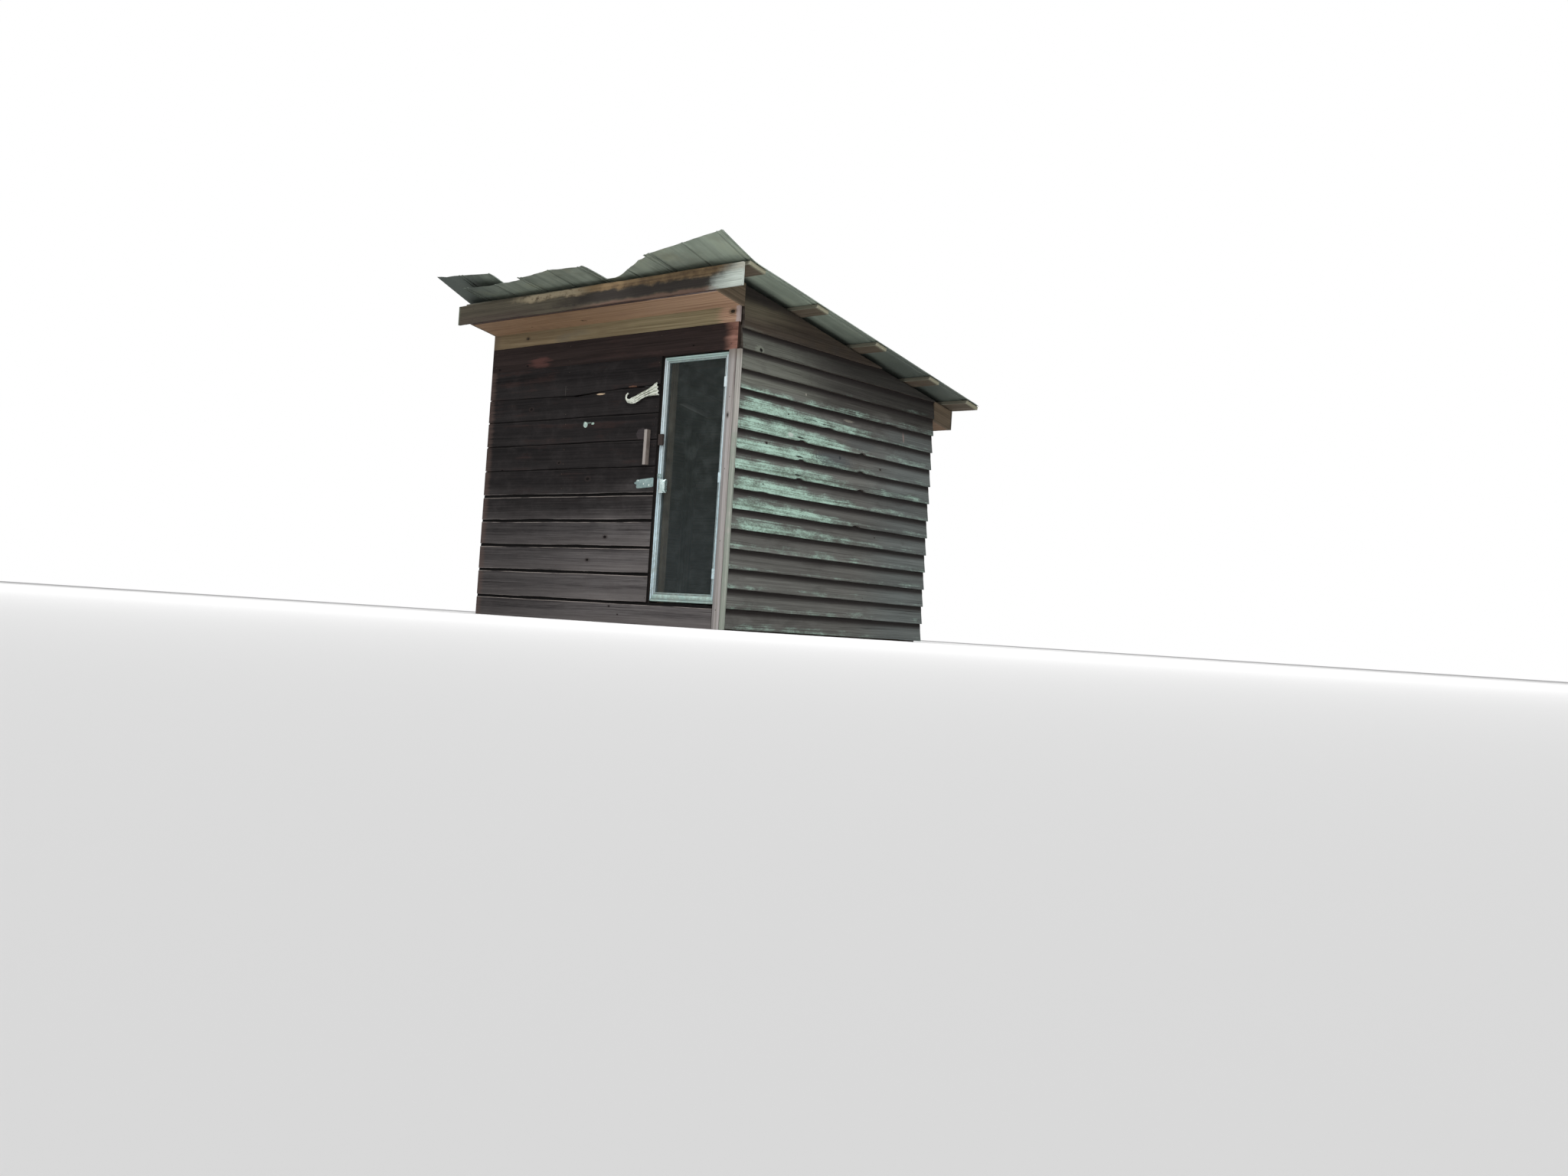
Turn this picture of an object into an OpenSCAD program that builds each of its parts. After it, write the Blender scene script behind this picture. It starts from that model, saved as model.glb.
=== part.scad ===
// A small board-sided outhouse with a lean-to metal roof and a screen door.
// The tall front wall faces -Y, the roof falls towards +Y, and the doorway is at the front's right end.
// Sizes are in millimetres. The origin is under the middle of the roof's outline, at the foot of the walls.

/* [Building] */
// Width across the side walls' outer faces
wall_w = 2438; // [2200:1:2800]
// Depth from the front wall's face to the back wall's face
wall_d = 2130; // [1900:1:2500]
// Height of the front soffit where it meets the front wall
soffit_z = 2020; // [1900:1:2300]
// Fall of the roof, in degrees
roof_pitch = 10.5; // [6:0.5:16]

/* [Framing] */
// Thickness of studs, sills and plates
stud_t = 38; // [30:1:50]
// Depth of studs and plates across the wall
stud_d = 89; // [70:1:110]
// Width of a corner post, seen from the front
post_w = 60; // [45:1:90]
// Height of a rafter, square to the slope
rafter_h = 127; // [90:1:150]
// Number of rafters
rafter_count = 4; // [3:1:6]

/* [Lap siding] */
// Thickness of a lapped board
lap_board_t = 19; // [12:1:25]
// Height that each lapped board shows
lap_show = 125; // [100:1:160]
// Drop from the front soffit to the lower edge of the top board
lap_top_drop = 137; // [100:1:200]

/* [Front boards] */
// Thickness of the front wall's boards
front_t = 20; // [16:1:30]
// Height that each grooved front board shows
front_show = 175; // [120:1:220]
// Height of the top grooved board, below the header board
front_top_show = 189; // [150:1:220]
// Height of the groove between two upper front boards
groove_h = 9; // [5:1:24]
// Height of the groove between two lower front boards, which have shrunk apart
wide_groove_h = 16; // [5:1:24]
// Height above the foot of the wall below which the grooves are wide
wide_groove_top = 900; // [200:10:1500]
// Depth of the grooves
groove_d = 8; // [4:1:12]
// Height that the frieze board shows, under the soffit
frieze_h = 100; // [60:1:150]
// Height of the header board, over the doorway
header_h = 170; // [120:1:220]
// Height of the base board
base_board_h = 147; // [110:1:200]

/* [Doorway] */
// Width of the doorway
doorway_w = 588; // [500:1:800]
// Width of the door stop, a strip behind the latch side of the door
stop_w = 50; // [25:1:60]
// Gap round the door's sides and behind it
door_gap = 5; // [5:1:8]
// Gap over and under the door
door_end_gap = 8; // [6:1:15]

/* [Screen door] */
// Thickness of the door
door_t = 28; // [22:1:35]
// Width of the upright members
stile_w = 42; // [34:1:60]
// Height of the top member
top_rail_h = 38; // [34:1:60]
// Height of the bottom member
bottom_rail_h = 60; // [40:1:120]
// Width of the flute along each member
flute_w = 7; // [3:1:12]
// Depth of that flute
flute_d = 4; // [1:0.5:6]
// Width of the outer rib beside the flute
rib_w = 11; // [6:1:15]
// Thickness of the insect mesh
mesh_t = 1; // [0.6:0.1:2]
// Depth that the mesh reaches into its slot
mesh_tuck = 6; // [3:1:9]

/* [Hinges] */
// Radius of a hinge knuckle
knuckle_r = 5; // [4:0.5:5]
// Radius of a hinge pin
pin_r = 2; // [1.5:0.1:3]
// Height of a hinge
hinge_h = 64; // [50:1:90]
// Width of a hinge leaf
leaf_w = 28; // [20:1:36]
// Thickness of a hinge leaf
leaf_t = 2; // [1.5:0.5:2.5]
// Distance from the door's ends to the outer hinges' middles
hinge_inset = 190; // [120:1:260]

/* [Fittings] */
// Height of the wood block beside the door, along the wall
block_h = 230; // [120:1:300]
// Width of that block
block_w = 28; // [20:1:40]
// Depth that it stands out from the wall
block_d = 32; // [20:1:45]
// Gap between that block and the doorway
block_gap = 62; // [40:1:100]
// Height of the block's lower end above the foot of the wall
block_z = 1040; // [900:1:1100]
// Length of the hasp plate
plate_w = 178; // [120:1:220]
// Height of the hasp plate
plate_h = 70; // [40:1:90]
// Thickness of the hasp plate
plate_t = 2; // [1:0.5:3]
// Height of the hasp plate's lower edge above the foot of the wall
plate_z = 888; // [700:1:930]
// Height of the catch block on the door
catch_h = 72; // [40:1:90]
// Depth that it stands out from the door
catch_d = 16; // [8:1:20]
// Height of its lower end above the foot of the wall
catch_z = 1168; // [1000:1:1300]
// Height of the door latch
latch_h = 88; // [60:1:120]
// Width of the latch plate
latch_w = 76; // [50:1:90]
// Height of the latch's lower end above the foot of the wall
latch_z = 858; // [700:1:1000]
// Depth that the latch grip stands out from the door
grip_d = 30; // [20:1:40]
// Width of the latch grip
grip_w = 26; // [16:1:36]

/* [Eaves] */
// Reach of the boxed eave in front of the front wall, to the fascia's back
eave_front = 230; // [150:1:300]
// Reach of the boxed eave behind the back wall, to the fascia's back
eave_back = 215; // [150:1:280]
// Thickness of the eave boards
eave_t = 19; // [16:1:25]
// Height of the front fascia
fascia_h = 133; // [110:1:150]
// Drop from the rafters' tops to the front fascia's top
fascia_drop = 8; // [6:1:20]
// Distance from the side walls' faces in to the cheeks' faces
cheek_set = 8; // [4:1:12]

/* [Roof] */
// Reach of the roof past the left wall
roof_left = 120; // [60:1:250]
// Reach of the roof past the right wall
roof_right = 212; // [120:1:280]
// Reach of the roof sheets behind the back wall
roof_back = 255; // [236:1:300]
// Width of the purlins over the two eaves
purlin_w = 150; // [100:1:200]
// Width of the purlins between them
mid_purlin_w = 115; // [80:1:160]
// Thickness of a purlin
purlin_t = 25; // [19:1:38]
// Spacing of the purlins between the eaves
purlin_pitch = 640; // [560:1:680]
// Thickness of the roof sheets
sheet_t = 1.5; // [0.8:0.1:2]
// Width that each roof sheet covers
sheet_cover = 616; // [560:1:660]
// Height of a crimp
crimp_h = 12; // [8:1:16]
// Width of a crimp
crimp_w = 22; // [16:1:28]
// Distance between the two crimps at a sheet's edge
crimp_pair = 36; // [30:1:44]
// Reach of the five roof sheets in front of the front wall at their left edges
sheet_reach_left = [455, 405, 430, 268, 440];
// Reach of the same sheets at their right edges
sheet_reach_right = [450, 410, 445, 430, 455];
// Lift of the bent front ends at their left edges
sheet_lift_left = [90, 0, 0, 0, 0];
// Lift of the bent front ends at their right edges
sheet_lift_right = [70, 0, 0, 0, 62];

/* [Rag] */
// Thickness of the twisted rag
rag_t = 26; // [15:1:40]
// Length of the rag along the wall
rag_len = 312; // [250:1:400]
// Height of the rag's middle above the foot of the wall
rag_z = 1508; // [1400:1:1600]

/* [Hidden] */
// Running clearance round a hinge pin
pin_clear = 0.1;
// Clearance between lapped roof sheets, and each side of the mesh
lap_clear = 0.1;
// Clearance of soft and loose pieces from what they lie on
rest_clear = 0.3;
// Clearance between pieces that bear on each other along the slope
seat_gap = 0.1;
// Gap between the side boards' top edges and the purlins
roof_gap = 8;
// Gap between a hinge knuckle and the door's face
knuckle_gap = 1;
// Distance from a hinge pin to the doorway's side
pin_set = knuckle_r + 1;
// Depth of a lapped board's lower edge over the framing
lap_d = 2 * lap_board_t;
// Roof slope as rise over run, and the factor from square to upright thickness
slope = tan(roof_pitch);
plumb = 1 / cos(roof_pitch);

// Outline of the whole part, from the roof
front_reach = max(max(sheet_reach_left), max(sheet_reach_right));
x0 = -(roof_left + wall_w + roof_right) / 2 + roof_left;
x1 = x0 + wall_w;
y0 = -(front_reach + wall_d + roof_back) / 2 + front_reach;
y1 = y0 + wall_d;

// Faces of the framing, inside the boards
frame_x0 = x0 + lap_d;
frame_x1 = x1 - lap_d;
frame_y0 = y0 + front_t;
frame_y1 = y1 - lap_d;

// Heights on the slope, by distance along Y
function soffit_under(y) = soffit_z - (y - y0) * slope;
function rafter_under(y) = soffit_under(y) + eave_t * plumb;
function rafter_top(y) = rafter_under(y) + rafter_h * plumb;
function sheet_under(y) = rafter_top(y) + purlin_t * plumb + 2 * seat_gap;

// Doorway, with the sills just lower than the base board
sill_h = base_board_h - 7;
doorway_x1 = frame_x1 - post_w;
doorway_x0 = doorway_x1 - doorway_w;
doorway_top = soffit_z - frieze_h - header_h;
plate_under = rafter_under(frame_y0 + stud_d) - stud_t;

// Door leaf, at rest and closed
door_x0 = doorway_x0 + door_gap;
door_x1 = doorway_x1 - door_gap;
door_y = frame_y0;
door_z0 = base_board_h + door_end_gap;
door_z1 = doorway_top - door_end_gap;
door_w = door_x1 - door_x0;
door_h = door_z1 - door_z0;
mesh_y = door_y + door_t / 2 - mesh_t / 2;
pin_x = doorway_x1 - pin_set;
pin_y = door_y - knuckle_r - knuckle_gap;
hinge_zs = [door_z0 + hinge_inset, (door_z0 + door_z1) / 2, door_z1 - hinge_inset];

// Eaves
fascia_y = y0 - eave_front;
back_fascia_y = y1 + eave_back;
cheek_x0 = x0 + cheek_set;
cheek_x1 = x1 - cheek_set;
fascia_top = rafter_top(y0 - eave_front + eave_t) - fascia_drop;

// Roof
roof_x0 = x0 - roof_left;
roof_x1 = x1 + roof_right;
roof_y1 = y1 + roof_back;
purlin_inset = 8;
purlin_y_first = fascia_y + 40;
purlin_y_last = back_fascia_y - 115;
edge_lap = crimp_pair / 2 + crimp_w / 2 + 2;
last_line = roof_x1 - edge_lap;
half_cover = sheet_cover / 2;
sheet_line_left = [for (k = [5:-1:1]) last_line - k * sheet_cover];

wood_weathered = [0.44, 0.40, 0.36];
wood_dark = [0.23, 0.19, 0.17];
wood_tan = [0.55, 0.45, 0.34];
wood_orange = [0.52, 0.34, 0.22];
metal_roof = [0.44, 0.50, 0.46];
aluminium = [0.78, 0.84, 0.84];

// A box from its lowest to its highest corner
module block(low, high) {
    translate(low) cube(high - low);
}

// An outline in the YZ plane, drawn out along X from x by w
module across(x, w) {
    translate([x, 0, 0]) rotate([90, 0, 90]) linear_extrude(w) children();
}

// All that lies under a line parallel to the roof, which has height z at the front wall's face
module under_slope(z) {
    near = y0 - 2 * eave_front;
    far = y1 + 2 * eave_back;
    across(roof_x0, roof_x1 - roof_x0)
        polygon([[near, -10], [far, -10], [far, z - (far - y0) * slope], [near, z - (near - y0) * slope]]);
}

// A board that follows the slope between two upright cuts, with its underside at height z at the wall's face
module slope_board(x, w, ya, yb, z, t) {
    across(x, w)
        polygon([
            [ya, z - (ya - y0) * slope],
            [yb, z - (yb - y0) * slope],
            [yb, z - (yb - y0) * slope + t * plumb],
            [ya, z - (ya - y0) * slope + t * plumb]
        ]);
}

module front_sill() {
    color(wood_tan)
        block([frame_x0 + post_w, frame_y0, 0], [doorway_x1, frame_y0 + stud_t, sill_h]);
}

module back_sill() {
    color(wood_tan)
        block([frame_x0 + post_w, frame_y1 - stud_t, 0], [frame_x1 - post_w, frame_y1, sill_h]);
}

module side_sills() {
    color(wood_tan)
        for (x = [frame_x0, frame_x1 - stud_t])
            block([x, frame_y0 + stud_d, 0], [x + stud_t, frame_y1 - stud_d, sill_h]);
}

// A corner post, with its top cut to the slope under the end rafter
module post(x, y) {
    color(wood_tan)
        intersection() {
            block([x, y, 0], [x + post_w, y + stud_d, 2 * soffit_z]);
            under_slope(rafter_under(y0));
        }
}

module left_front_post() {
    post(frame_x0, frame_y0);
}

module right_front_post() {
    post(doorway_x1, frame_y0);
}

module back_posts() {
    for (x = [frame_x0, frame_x1 - post_w])
        post(x, frame_y1 - stud_d);
}

module door_stud() {
    color(wood_tan)
        block([doorway_x0 - stud_t, frame_y0, sill_h], [doorway_x0, frame_y0 + stud_d, plate_under]);
}

module door_stop() {
    y = door_y + door_t + door_gap;
    color(wood_tan)
        block([doorway_x0, y, sill_h], [doorway_x0 + stop_w, frame_y0 + stud_d, doorway_top]);
}

module door_lintel() {
    color(wood_tan)
        block([doorway_x0, frame_y0, doorway_top], [doorway_x1, frame_y0 + stud_t, doorway_top + stud_d]);
}

// Studs of the side walls, with their tops cut to the slope, and of the front and back walls
module wall_studs() {
    bay_y = (frame_y1 - frame_y0) / 3;
    bay_x = (frame_x1 - frame_x0) / 3;
    back_plate_under = rafter_under(frame_y1) - stud_t;
    color(wood_tan) {
        intersection() {
            for (x = [frame_x0, frame_x1 - stud_d], k = [1, 2])
                block([x, frame_y0 + k * bay_y - stud_t / 2, sill_h],
                    [x + stud_d, frame_y0 + k * bay_y + stud_t / 2, 2 * soffit_z]);
            under_slope(rafter_under(y0));
        }
        block([frame_x0 + bay_x, frame_y0, sill_h],
            [frame_x0 + bay_x + stud_t, frame_y0 + stud_d, plate_under]);
        for (k = [1, 2])
            block([frame_x0 + k * bay_x, frame_y1 - stud_d, sill_h],
                [frame_x0 + k * bay_x + stud_t, frame_y1, back_plate_under]);
    }
}

// A top plate between two posts, planed to the slope that the rafters rest on
module top_plate(y) {
    color(wood_tan)
        intersection() {
            block([frame_x0 + post_w, y, rafter_under(y + stud_d) - stud_t],
                [frame_x1 - post_w, y + stud_d, 2 * soffit_z]);
            under_slope(rafter_under(y0));
        }
}

module front_plate() {
    top_plate(frame_y0);
}

module back_plate() {
    top_plate(frame_y1 - stud_d);
}

module rafters() {
    step = (frame_x1 - stud_t - frame_x0) / (rafter_count - 1);
    color(wood_tan)
        for (k = [0:rafter_count - 1])
            slope_board(frame_x0 + k * step, stud_t, fascia_y + eave_t, back_fascia_y,
                rafter_under(y0) + seat_gap, rafter_h - seat_gap);
}

// A board laid flat on the rafters, with its ends out past the walls
module purlin(y, w) {
    translate([roof_x0 + purlin_inset, y, rafter_top(y) + seat_gap])
        rotate([-roof_pitch, 0, 0])
            cube([roof_x1 - roof_x0 - 2 * purlin_inset, w, purlin_t]);
}

module purlins() {
    color(wood_orange) {
        purlin(purlin_y_first, purlin_w);
        for (k = [1:3]) purlin(fascia_y + 60 + k * purlin_pitch, mid_purlin_w);
        purlin(purlin_y_last, purlin_w);
    }
}

// Points of one crimp across a sheet
function crimp(x) = [[x - crimp_w / 2, 0], [x, crimp_h], [x + crimp_w / 2, 0]];
function crimps(x) = concat(crimp(x - crimp_pair / 2), crimp(x + crimp_pair / 2));

// A crimped sheet along the slope. path runs across it, low is its level over the purlins, and its
// front end may run askew and be bent up.
module crimped_sheet(path, low, reach_a, reach_b, lift_a, lift_b) {
    xa = path[0][0];
    xb = path[len(path) - 1][0];
    bend_y = fascia_y;
    steps = 3;
    n = len(path);
    m = steps + 2;
    // Place of a path point on ring j: ring 0 is the back end, ring 1 the fascia, and the rest the bent end
    function at(j, p, up) =
        let (u = (p[0] - xa) / (xb - xa))
        let (t = max(0, j - 1) / steps)
        let (front = y0 - (reach_a + (reach_b - reach_a) * u))
        let (y = j == 0 ? roof_y1 : bend_y + (front - bend_y) * t)
        let (lift = (lift_a + (lift_b - lift_a) * u) * t * t)
        [p[0], y, sheet_under(y) + low + p[1] + lift + up];
    under = [for (j = [0:m - 1], p = path) at(j, p, 0)];
    over = [for (j = [0:m - 1], p = path) at(j, p, sheet_t)];
    s = m * n;
    skin = [for (j = [0:m - 2], i = [0:n - 2]) let (a = j * n + i, b = a + 1, c = a + n, d = b + n)
        each [[a, b, d], [a, d, c], [s + a, s + d, s + b], [s + a, s + c, s + d]]];
    ends = [for (i = [0:n - 2]) let (a = i, b = i + 1, c = (m - 1) * n + i, d = c + 1)
        each [[a, s + a, s + b], [a, s + b, b], [c, s + d, s + c], [c, d, s + d]]];
    sides = [for (j = [0:m - 2]) let (a = j * n, b = a + n, c = j * n + n - 1, d = c + n)
        each [[a, b, s + b], [a, s + b, s + a], [c, s + d, d], [c, s + c, s + d]]];
    polyhedron(points = concat(under, over), faces = concat(skin, ends, sides), convexity = 6);
}

// Sheets 2 to 5 run between two double crimps with a single one in the middle. Sheet 1 is cut off at the
// roof's left edge and lapped half its width over sheet 2. Odd sheets lie on even ones.
module roof_sheet(k) {
    line = sheet_line_left[k - 1];
    next = line + sheet_cover;
    edge = edge_lap - crimp_pair / 2;
    path = k == 1
        ? concat([[roof_x0, 0]], crimps(next), crimp(next + half_cover), [[next + half_cover + edge, 0]])
        : concat([[line - edge_lap, 0]], crimps(line), crimp(line + half_cover), crimps(next),
            [[next + edge_lap, 0]]);
    low = k % 2 == 1 ? sheet_t + lap_clear : 0;
    color(metal_roof)
        crimped_sheet(path, low, sheet_reach_left[k - 1], sheet_reach_right[k - 1],
            sheet_lift_left[k - 1], sheet_lift_right[k - 1]);
}

module front_fascia() {
    color(wood_orange)
        block([roof_x0 + purlin_inset, fascia_y - eave_t, fascia_top - fascia_h],
            [roof_x1 - purlin_inset, fascia_y, fascia_top]);
}

module front_sub_fascia() {
    color(wood_dark)
        block([cheek_x0 + eave_t, fascia_y, soffit_under(fascia_y)],
            [cheek_x1 - eave_t, fascia_y + eave_t, fascia_top]);
}

module back_fascia() {
    color(wood_dark)
        block([cheek_x0, back_fascia_y, soffit_under(back_fascia_y)],
            [cheek_x1, back_fascia_y + eave_t, rafter_top(back_fascia_y + eave_t) - rest_clear]);
}

module front_soffit() {
    color(wood_orange)
        slope_board(cheek_x0 + eave_t, cheek_x1 - cheek_x0 - 2 * eave_t, fascia_y + eave_t, y0,
            soffit_z, eave_t);
}

module back_soffit() {
    color(wood_orange)
        slope_board(cheek_x0 + eave_t, cheek_x1 - cheek_x0 - 2 * eave_t, y1, back_fascia_y,
            soffit_z, eave_t);
}

// Boards that close the ends of a boxed eave, one on each side
module cheeks(ya, yb) {
    color(wood_weathered)
        for (x = [cheek_x0, cheek_x1 - eave_t])
            slope_board(x, eave_t, ya, yb, soffit_z, eave_t + rafter_h - roof_gap);
}

module front_cheeks() {
    cheeks(fascia_y, y0);
}

module back_cheeks() {
    cheeks(y1, back_fascia_y);
}

module frieze_board() {
    color(wood_orange)
        intersection() {
            block([x0, y0, soffit_z - frieze_h], [frame_x1, frame_y0, 2 * soffit_z]);
            under_slope(rafter_under(y0));
        }
}

module header_board() {
    color(wood_dark)
        block([x0, y0, doorway_top], [frame_x1, frame_y0, soffit_z - frieze_h]);
}

// Grooved boards left of the doorway, drawn as their profile along the wall
module front_siding() {
    lines = [for (z = [doorway_top - front_top_show:-front_show:base_board_h + front_show / 2]) z];
    notches = [for (z = lines) let (low = z - (z < wide_groove_top ? wide_groove_h : groove_h))
        each [[0, z], [groove_d, z], [groove_d, low], [0, low]]];
    color(wood_dark)
        translate([0, y0, 0]) across(x0, doorway_x0 - x0)
            polygon(concat([[front_t, base_board_h], [front_t, doorway_top], [0, doorway_top]],
                notches, [[0, base_board_h]]));
}

// The base board, with the lowest groove along its top edge
module base_board() {
    shoulder = base_board_h - wide_groove_h;
    color(wood_dark)
        translate([0, y0, 0]) across(x0, doorway_x1 - x0)
            polygon([[0, 0], [front_t, 0], [front_t, base_board_h], [groove_d, base_board_h],
                [groove_d, shoulder], [0, shoulder]]);
}

module corner_board() {
    color(wood_weathered)
        block([doorway_x1, y0, 0], [frame_x1, frame_y0, doorway_top]);
}

// Lapped boards along X, with their lower edges out at +Y
module lap_boards(length) {
    top = 2 * soffit_z;
    z_first = soffit_z - lap_top_drop;
    lines = [for (z = [z_first:-lap_show:lap_show / 3]) z];
    teeth = [for (z = lines) each [[lap_d, z], [lap_board_t, z]]];
    across(0, length)
        polygon(concat([[0, 0], [0, top], [lap_board_t, top], [lap_board_t, rafter_top(y0)]],
            teeth, [[lap_d, 0]]));
}

module right_siding() {
    color(wood_weathered)
        intersection() {
            translate([frame_x1, y1, 0]) rotate([0, 0, -90]) lap_boards(wall_d);
            under_slope(rafter_top(y0) - roof_gap);
        }
}

module left_siding() {
    color(wood_weathered)
        intersection() {
            translate([frame_x0, frame_y0, 0]) rotate([0, 0, 90]) lap_boards(wall_d - front_t);
            under_slope(rafter_top(y0) - roof_gap);
        }
}

module back_siding() {
    color(wood_weathered)
        intersection() {
            translate([frame_x0, frame_y1, 0]) lap_boards(frame_x1 - frame_x0);
            under_slope(rafter_under(y0));
        }
}

module door_block() {
    x = doorway_x0 - block_gap - block_w;
    color(wood_weathered)
        block([x, y0 - block_d, block_z], [x + block_w, y0, block_z + block_h]);
}

module hasp_plate() {
    x = doorway_x0 - door_gap;
    color("silver")
        block([x - plate_w, y0 - plate_t, plate_z], [x, y0, plate_z + plate_h]);
}

// A round on the hinge pin's line between two heights, for the pin, a knuckle or a bore
module turned(za, zb, r) {
    translate([pin_x, pin_y, za]) cylinder(h = zb - za, r = r, $fn = 32);
}

// The post's half of a hinge: a leaf on the doorway's side, two knuckles and the pin
module hinge_plate(z) {
    third = hinge_h / 3;
    leaf_y = pin_y + knuckle_r + 2 * knuckle_gap;
    block([doorway_x1 - leaf_t, leaf_y, z - hinge_h / 2], [doorway_x1, leaf_y + leaf_w, z + hinge_h / 2]);
    for (low = [z - hinge_h / 2, z + hinge_h / 2 - third]) {
        turned(low, low + third, knuckle_r);
        block([doorway_x1 - leaf_t, pin_y, low], [doorway_x1, leaf_y, low + third]);
    }
    turned(z - hinge_h / 2, z + hinge_h / 2, pin_r);
}

// The door's half: a leaf on its face and the middle knuckle
module hinge_leaf(z) {
    third = hinge_h / 3;
    gap = 0.5;
    leaf_x = pin_x - knuckle_r - 2 * knuckle_gap;
    low = z - third / 2 + gap;
    high = z + third / 2 - gap;
    block([leaf_x - leaf_w, door_y - leaf_t, z - hinge_h / 2], [leaf_x, door_y, z + hinge_h / 2]);
    difference() {
        union() {
            turned(low, high, knuckle_r);
            block([leaf_x, door_y - leaf_t, low], [pin_x, door_y - knuckle_gap / 2, high]);
        }
        turned(low - 1, high + 1, pin_r + pin_clear);
    }
}

module hinge_plates() {
    color("dimgray")
        for (z = hinge_zs) hinge_plate(z);
}

module hinge_leaves() {
    color("dimgray")
        for (z = hinge_zs) hinge_leaf(z);
}

// Section of a door member: u runs in from the door's edge, v back from its face
module member_section(w) {
    slot_low = mesh_y - door_y - lap_clear;
    slot_high = slot_low + mesh_t + 2 * lap_clear;
    bevel = 4;
    polygon([
        [0, 0], [rib_w, 0], [rib_w, flute_d], [rib_w + flute_w, flute_d], [rib_w + flute_w, 0],
        [w - bevel, 0], [w, bevel],
        [w, slot_low], [w - mesh_tuck, slot_low], [w - mesh_tuck, slot_high], [w, slot_high],
        [w, door_t], [0, door_t]
    ]);
}

// A door member of length l along Z, mitred to members of widths a and b at its lower and upper ends
module member(w, l, a, b) {
    intersection() {
        linear_extrude(l) member_section(w);
        rotate([90, 0, 0]) translate([0, 0, -2 * door_t]) linear_extrude(3 * door_t)
            polygon([[0, 0], [w, a], [w, l - b], [0, l]]);
    }
}

module latch_stile() {
    color(aluminium)
        translate([door_x0, door_y, door_z0]) member(stile_w, door_h, bottom_rail_h, top_rail_h);
}

module hinge_stile() {
    color(aluminium)
        translate([door_x1, door_y, door_z0]) mirror([1, 0, 0])
            member(stile_w, door_h, bottom_rail_h, top_rail_h);
}

module top_rail() {
    color(aluminium)
        translate([door_x0, door_y, door_z1]) rotate([0, 90, 0])
            member(top_rail_h, door_w, stile_w, stile_w);
}

module bottom_rail() {
    color(aluminium)
        translate([door_x0, door_y, door_z0]) mirror([0, 0, 1]) rotate([0, 90, 0])
            member(bottom_rail_h, door_w, stile_w, stile_w);
}

module door_mesh() {
    in = mesh_tuck - rest_clear;
    color([0.2, 0.24, 0.24])
        block([door_x0 + stile_w - in, mesh_y, door_z0 + bottom_rail_h - in],
            [door_x1 - stile_w + in, mesh_y + mesh_t, door_z1 - top_rail_h + in]);
}

module catch_block() {
    color(wood_dark)
        block([door_x0, door_y - catch_d, catch_z], [door_x0 + stile_w, door_y, catch_z + catch_h]);
}

// The latch: a plate screwed to the stile and a bent grip that stands out from it
module door_latch() {
    x = door_x0 + rib_w + flute_w + 2;
    back = 3;
    arm = 6;
    color("lightgray")
        translate([x, door_y, latch_z]) {
            block([0, -back, 0], [latch_w, 0, latch_h]);
            for (z = [0, latch_h - arm])
                block([latch_w - grip_w, -grip_d, z], [latch_w, -back, z + arm]);
            block([latch_w - grip_w, -grip_d, 0], [latch_w, -grip_d + arm, latch_h]);
        }
}

// A twisted strip of cloth, seen from the front, with a curl at its left end and a fan at its right
module rag_outline() {
    curl = 26;
    waist = 16;
    fan = 34;
    knot = [curl, -curl / 2];
    middle = [rag_len * 0.58, waist / 3];
    end = [rag_len - fan, fan / 2];
    hull() {
        translate(knot) circle(r = curl, $fn = 28);
        translate(middle) circle(r = waist, $fn = 28);
    }
    hull() {
        translate(middle) circle(r = waist, $fn = 28);
        translate(end) circle(r = fan, $fn = 28);
    }
}

module rag() {
    x = doorway_x0 - rest_clear - rag_len;
    color([0.85, 0.86, 0.8])
        translate([x, y0 - rest_clear, rag_z]) rotate([90, 0, 0]) linear_extrude(rag_t) rag_outline();
}

front_sill();
back_sill();
side_sills();
left_front_post();
right_front_post();
back_posts();
door_stud();
door_stop();
door_lintel();
wall_studs();
front_plate();
back_plate();
rafters();
purlins();
roof_sheet(1);  // roof_sheet_1
roof_sheet(2);  // roof_sheet_2
roof_sheet(3);  // roof_sheet_3
roof_sheet(4);  // roof_sheet_4
roof_sheet(5);  // roof_sheet_5
front_fascia();
front_sub_fascia();
back_fascia();
front_soffit();
back_soffit();
front_cheeks();
back_cheeks();
frieze_board();
header_board();
front_siding();
base_board();
corner_board();
right_siding();
left_siding();
back_siding();
door_block();
hasp_plate();
hinge_plates();
rag();
latch_stile();
hinge_stile();
top_rail();
bottom_rail();
door_mesh();
catch_block();
door_latch();
hinge_leaves();
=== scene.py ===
import math

import bmesh
import bpy
import numpy as np
from mathutils import Matrix, Vector


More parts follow.
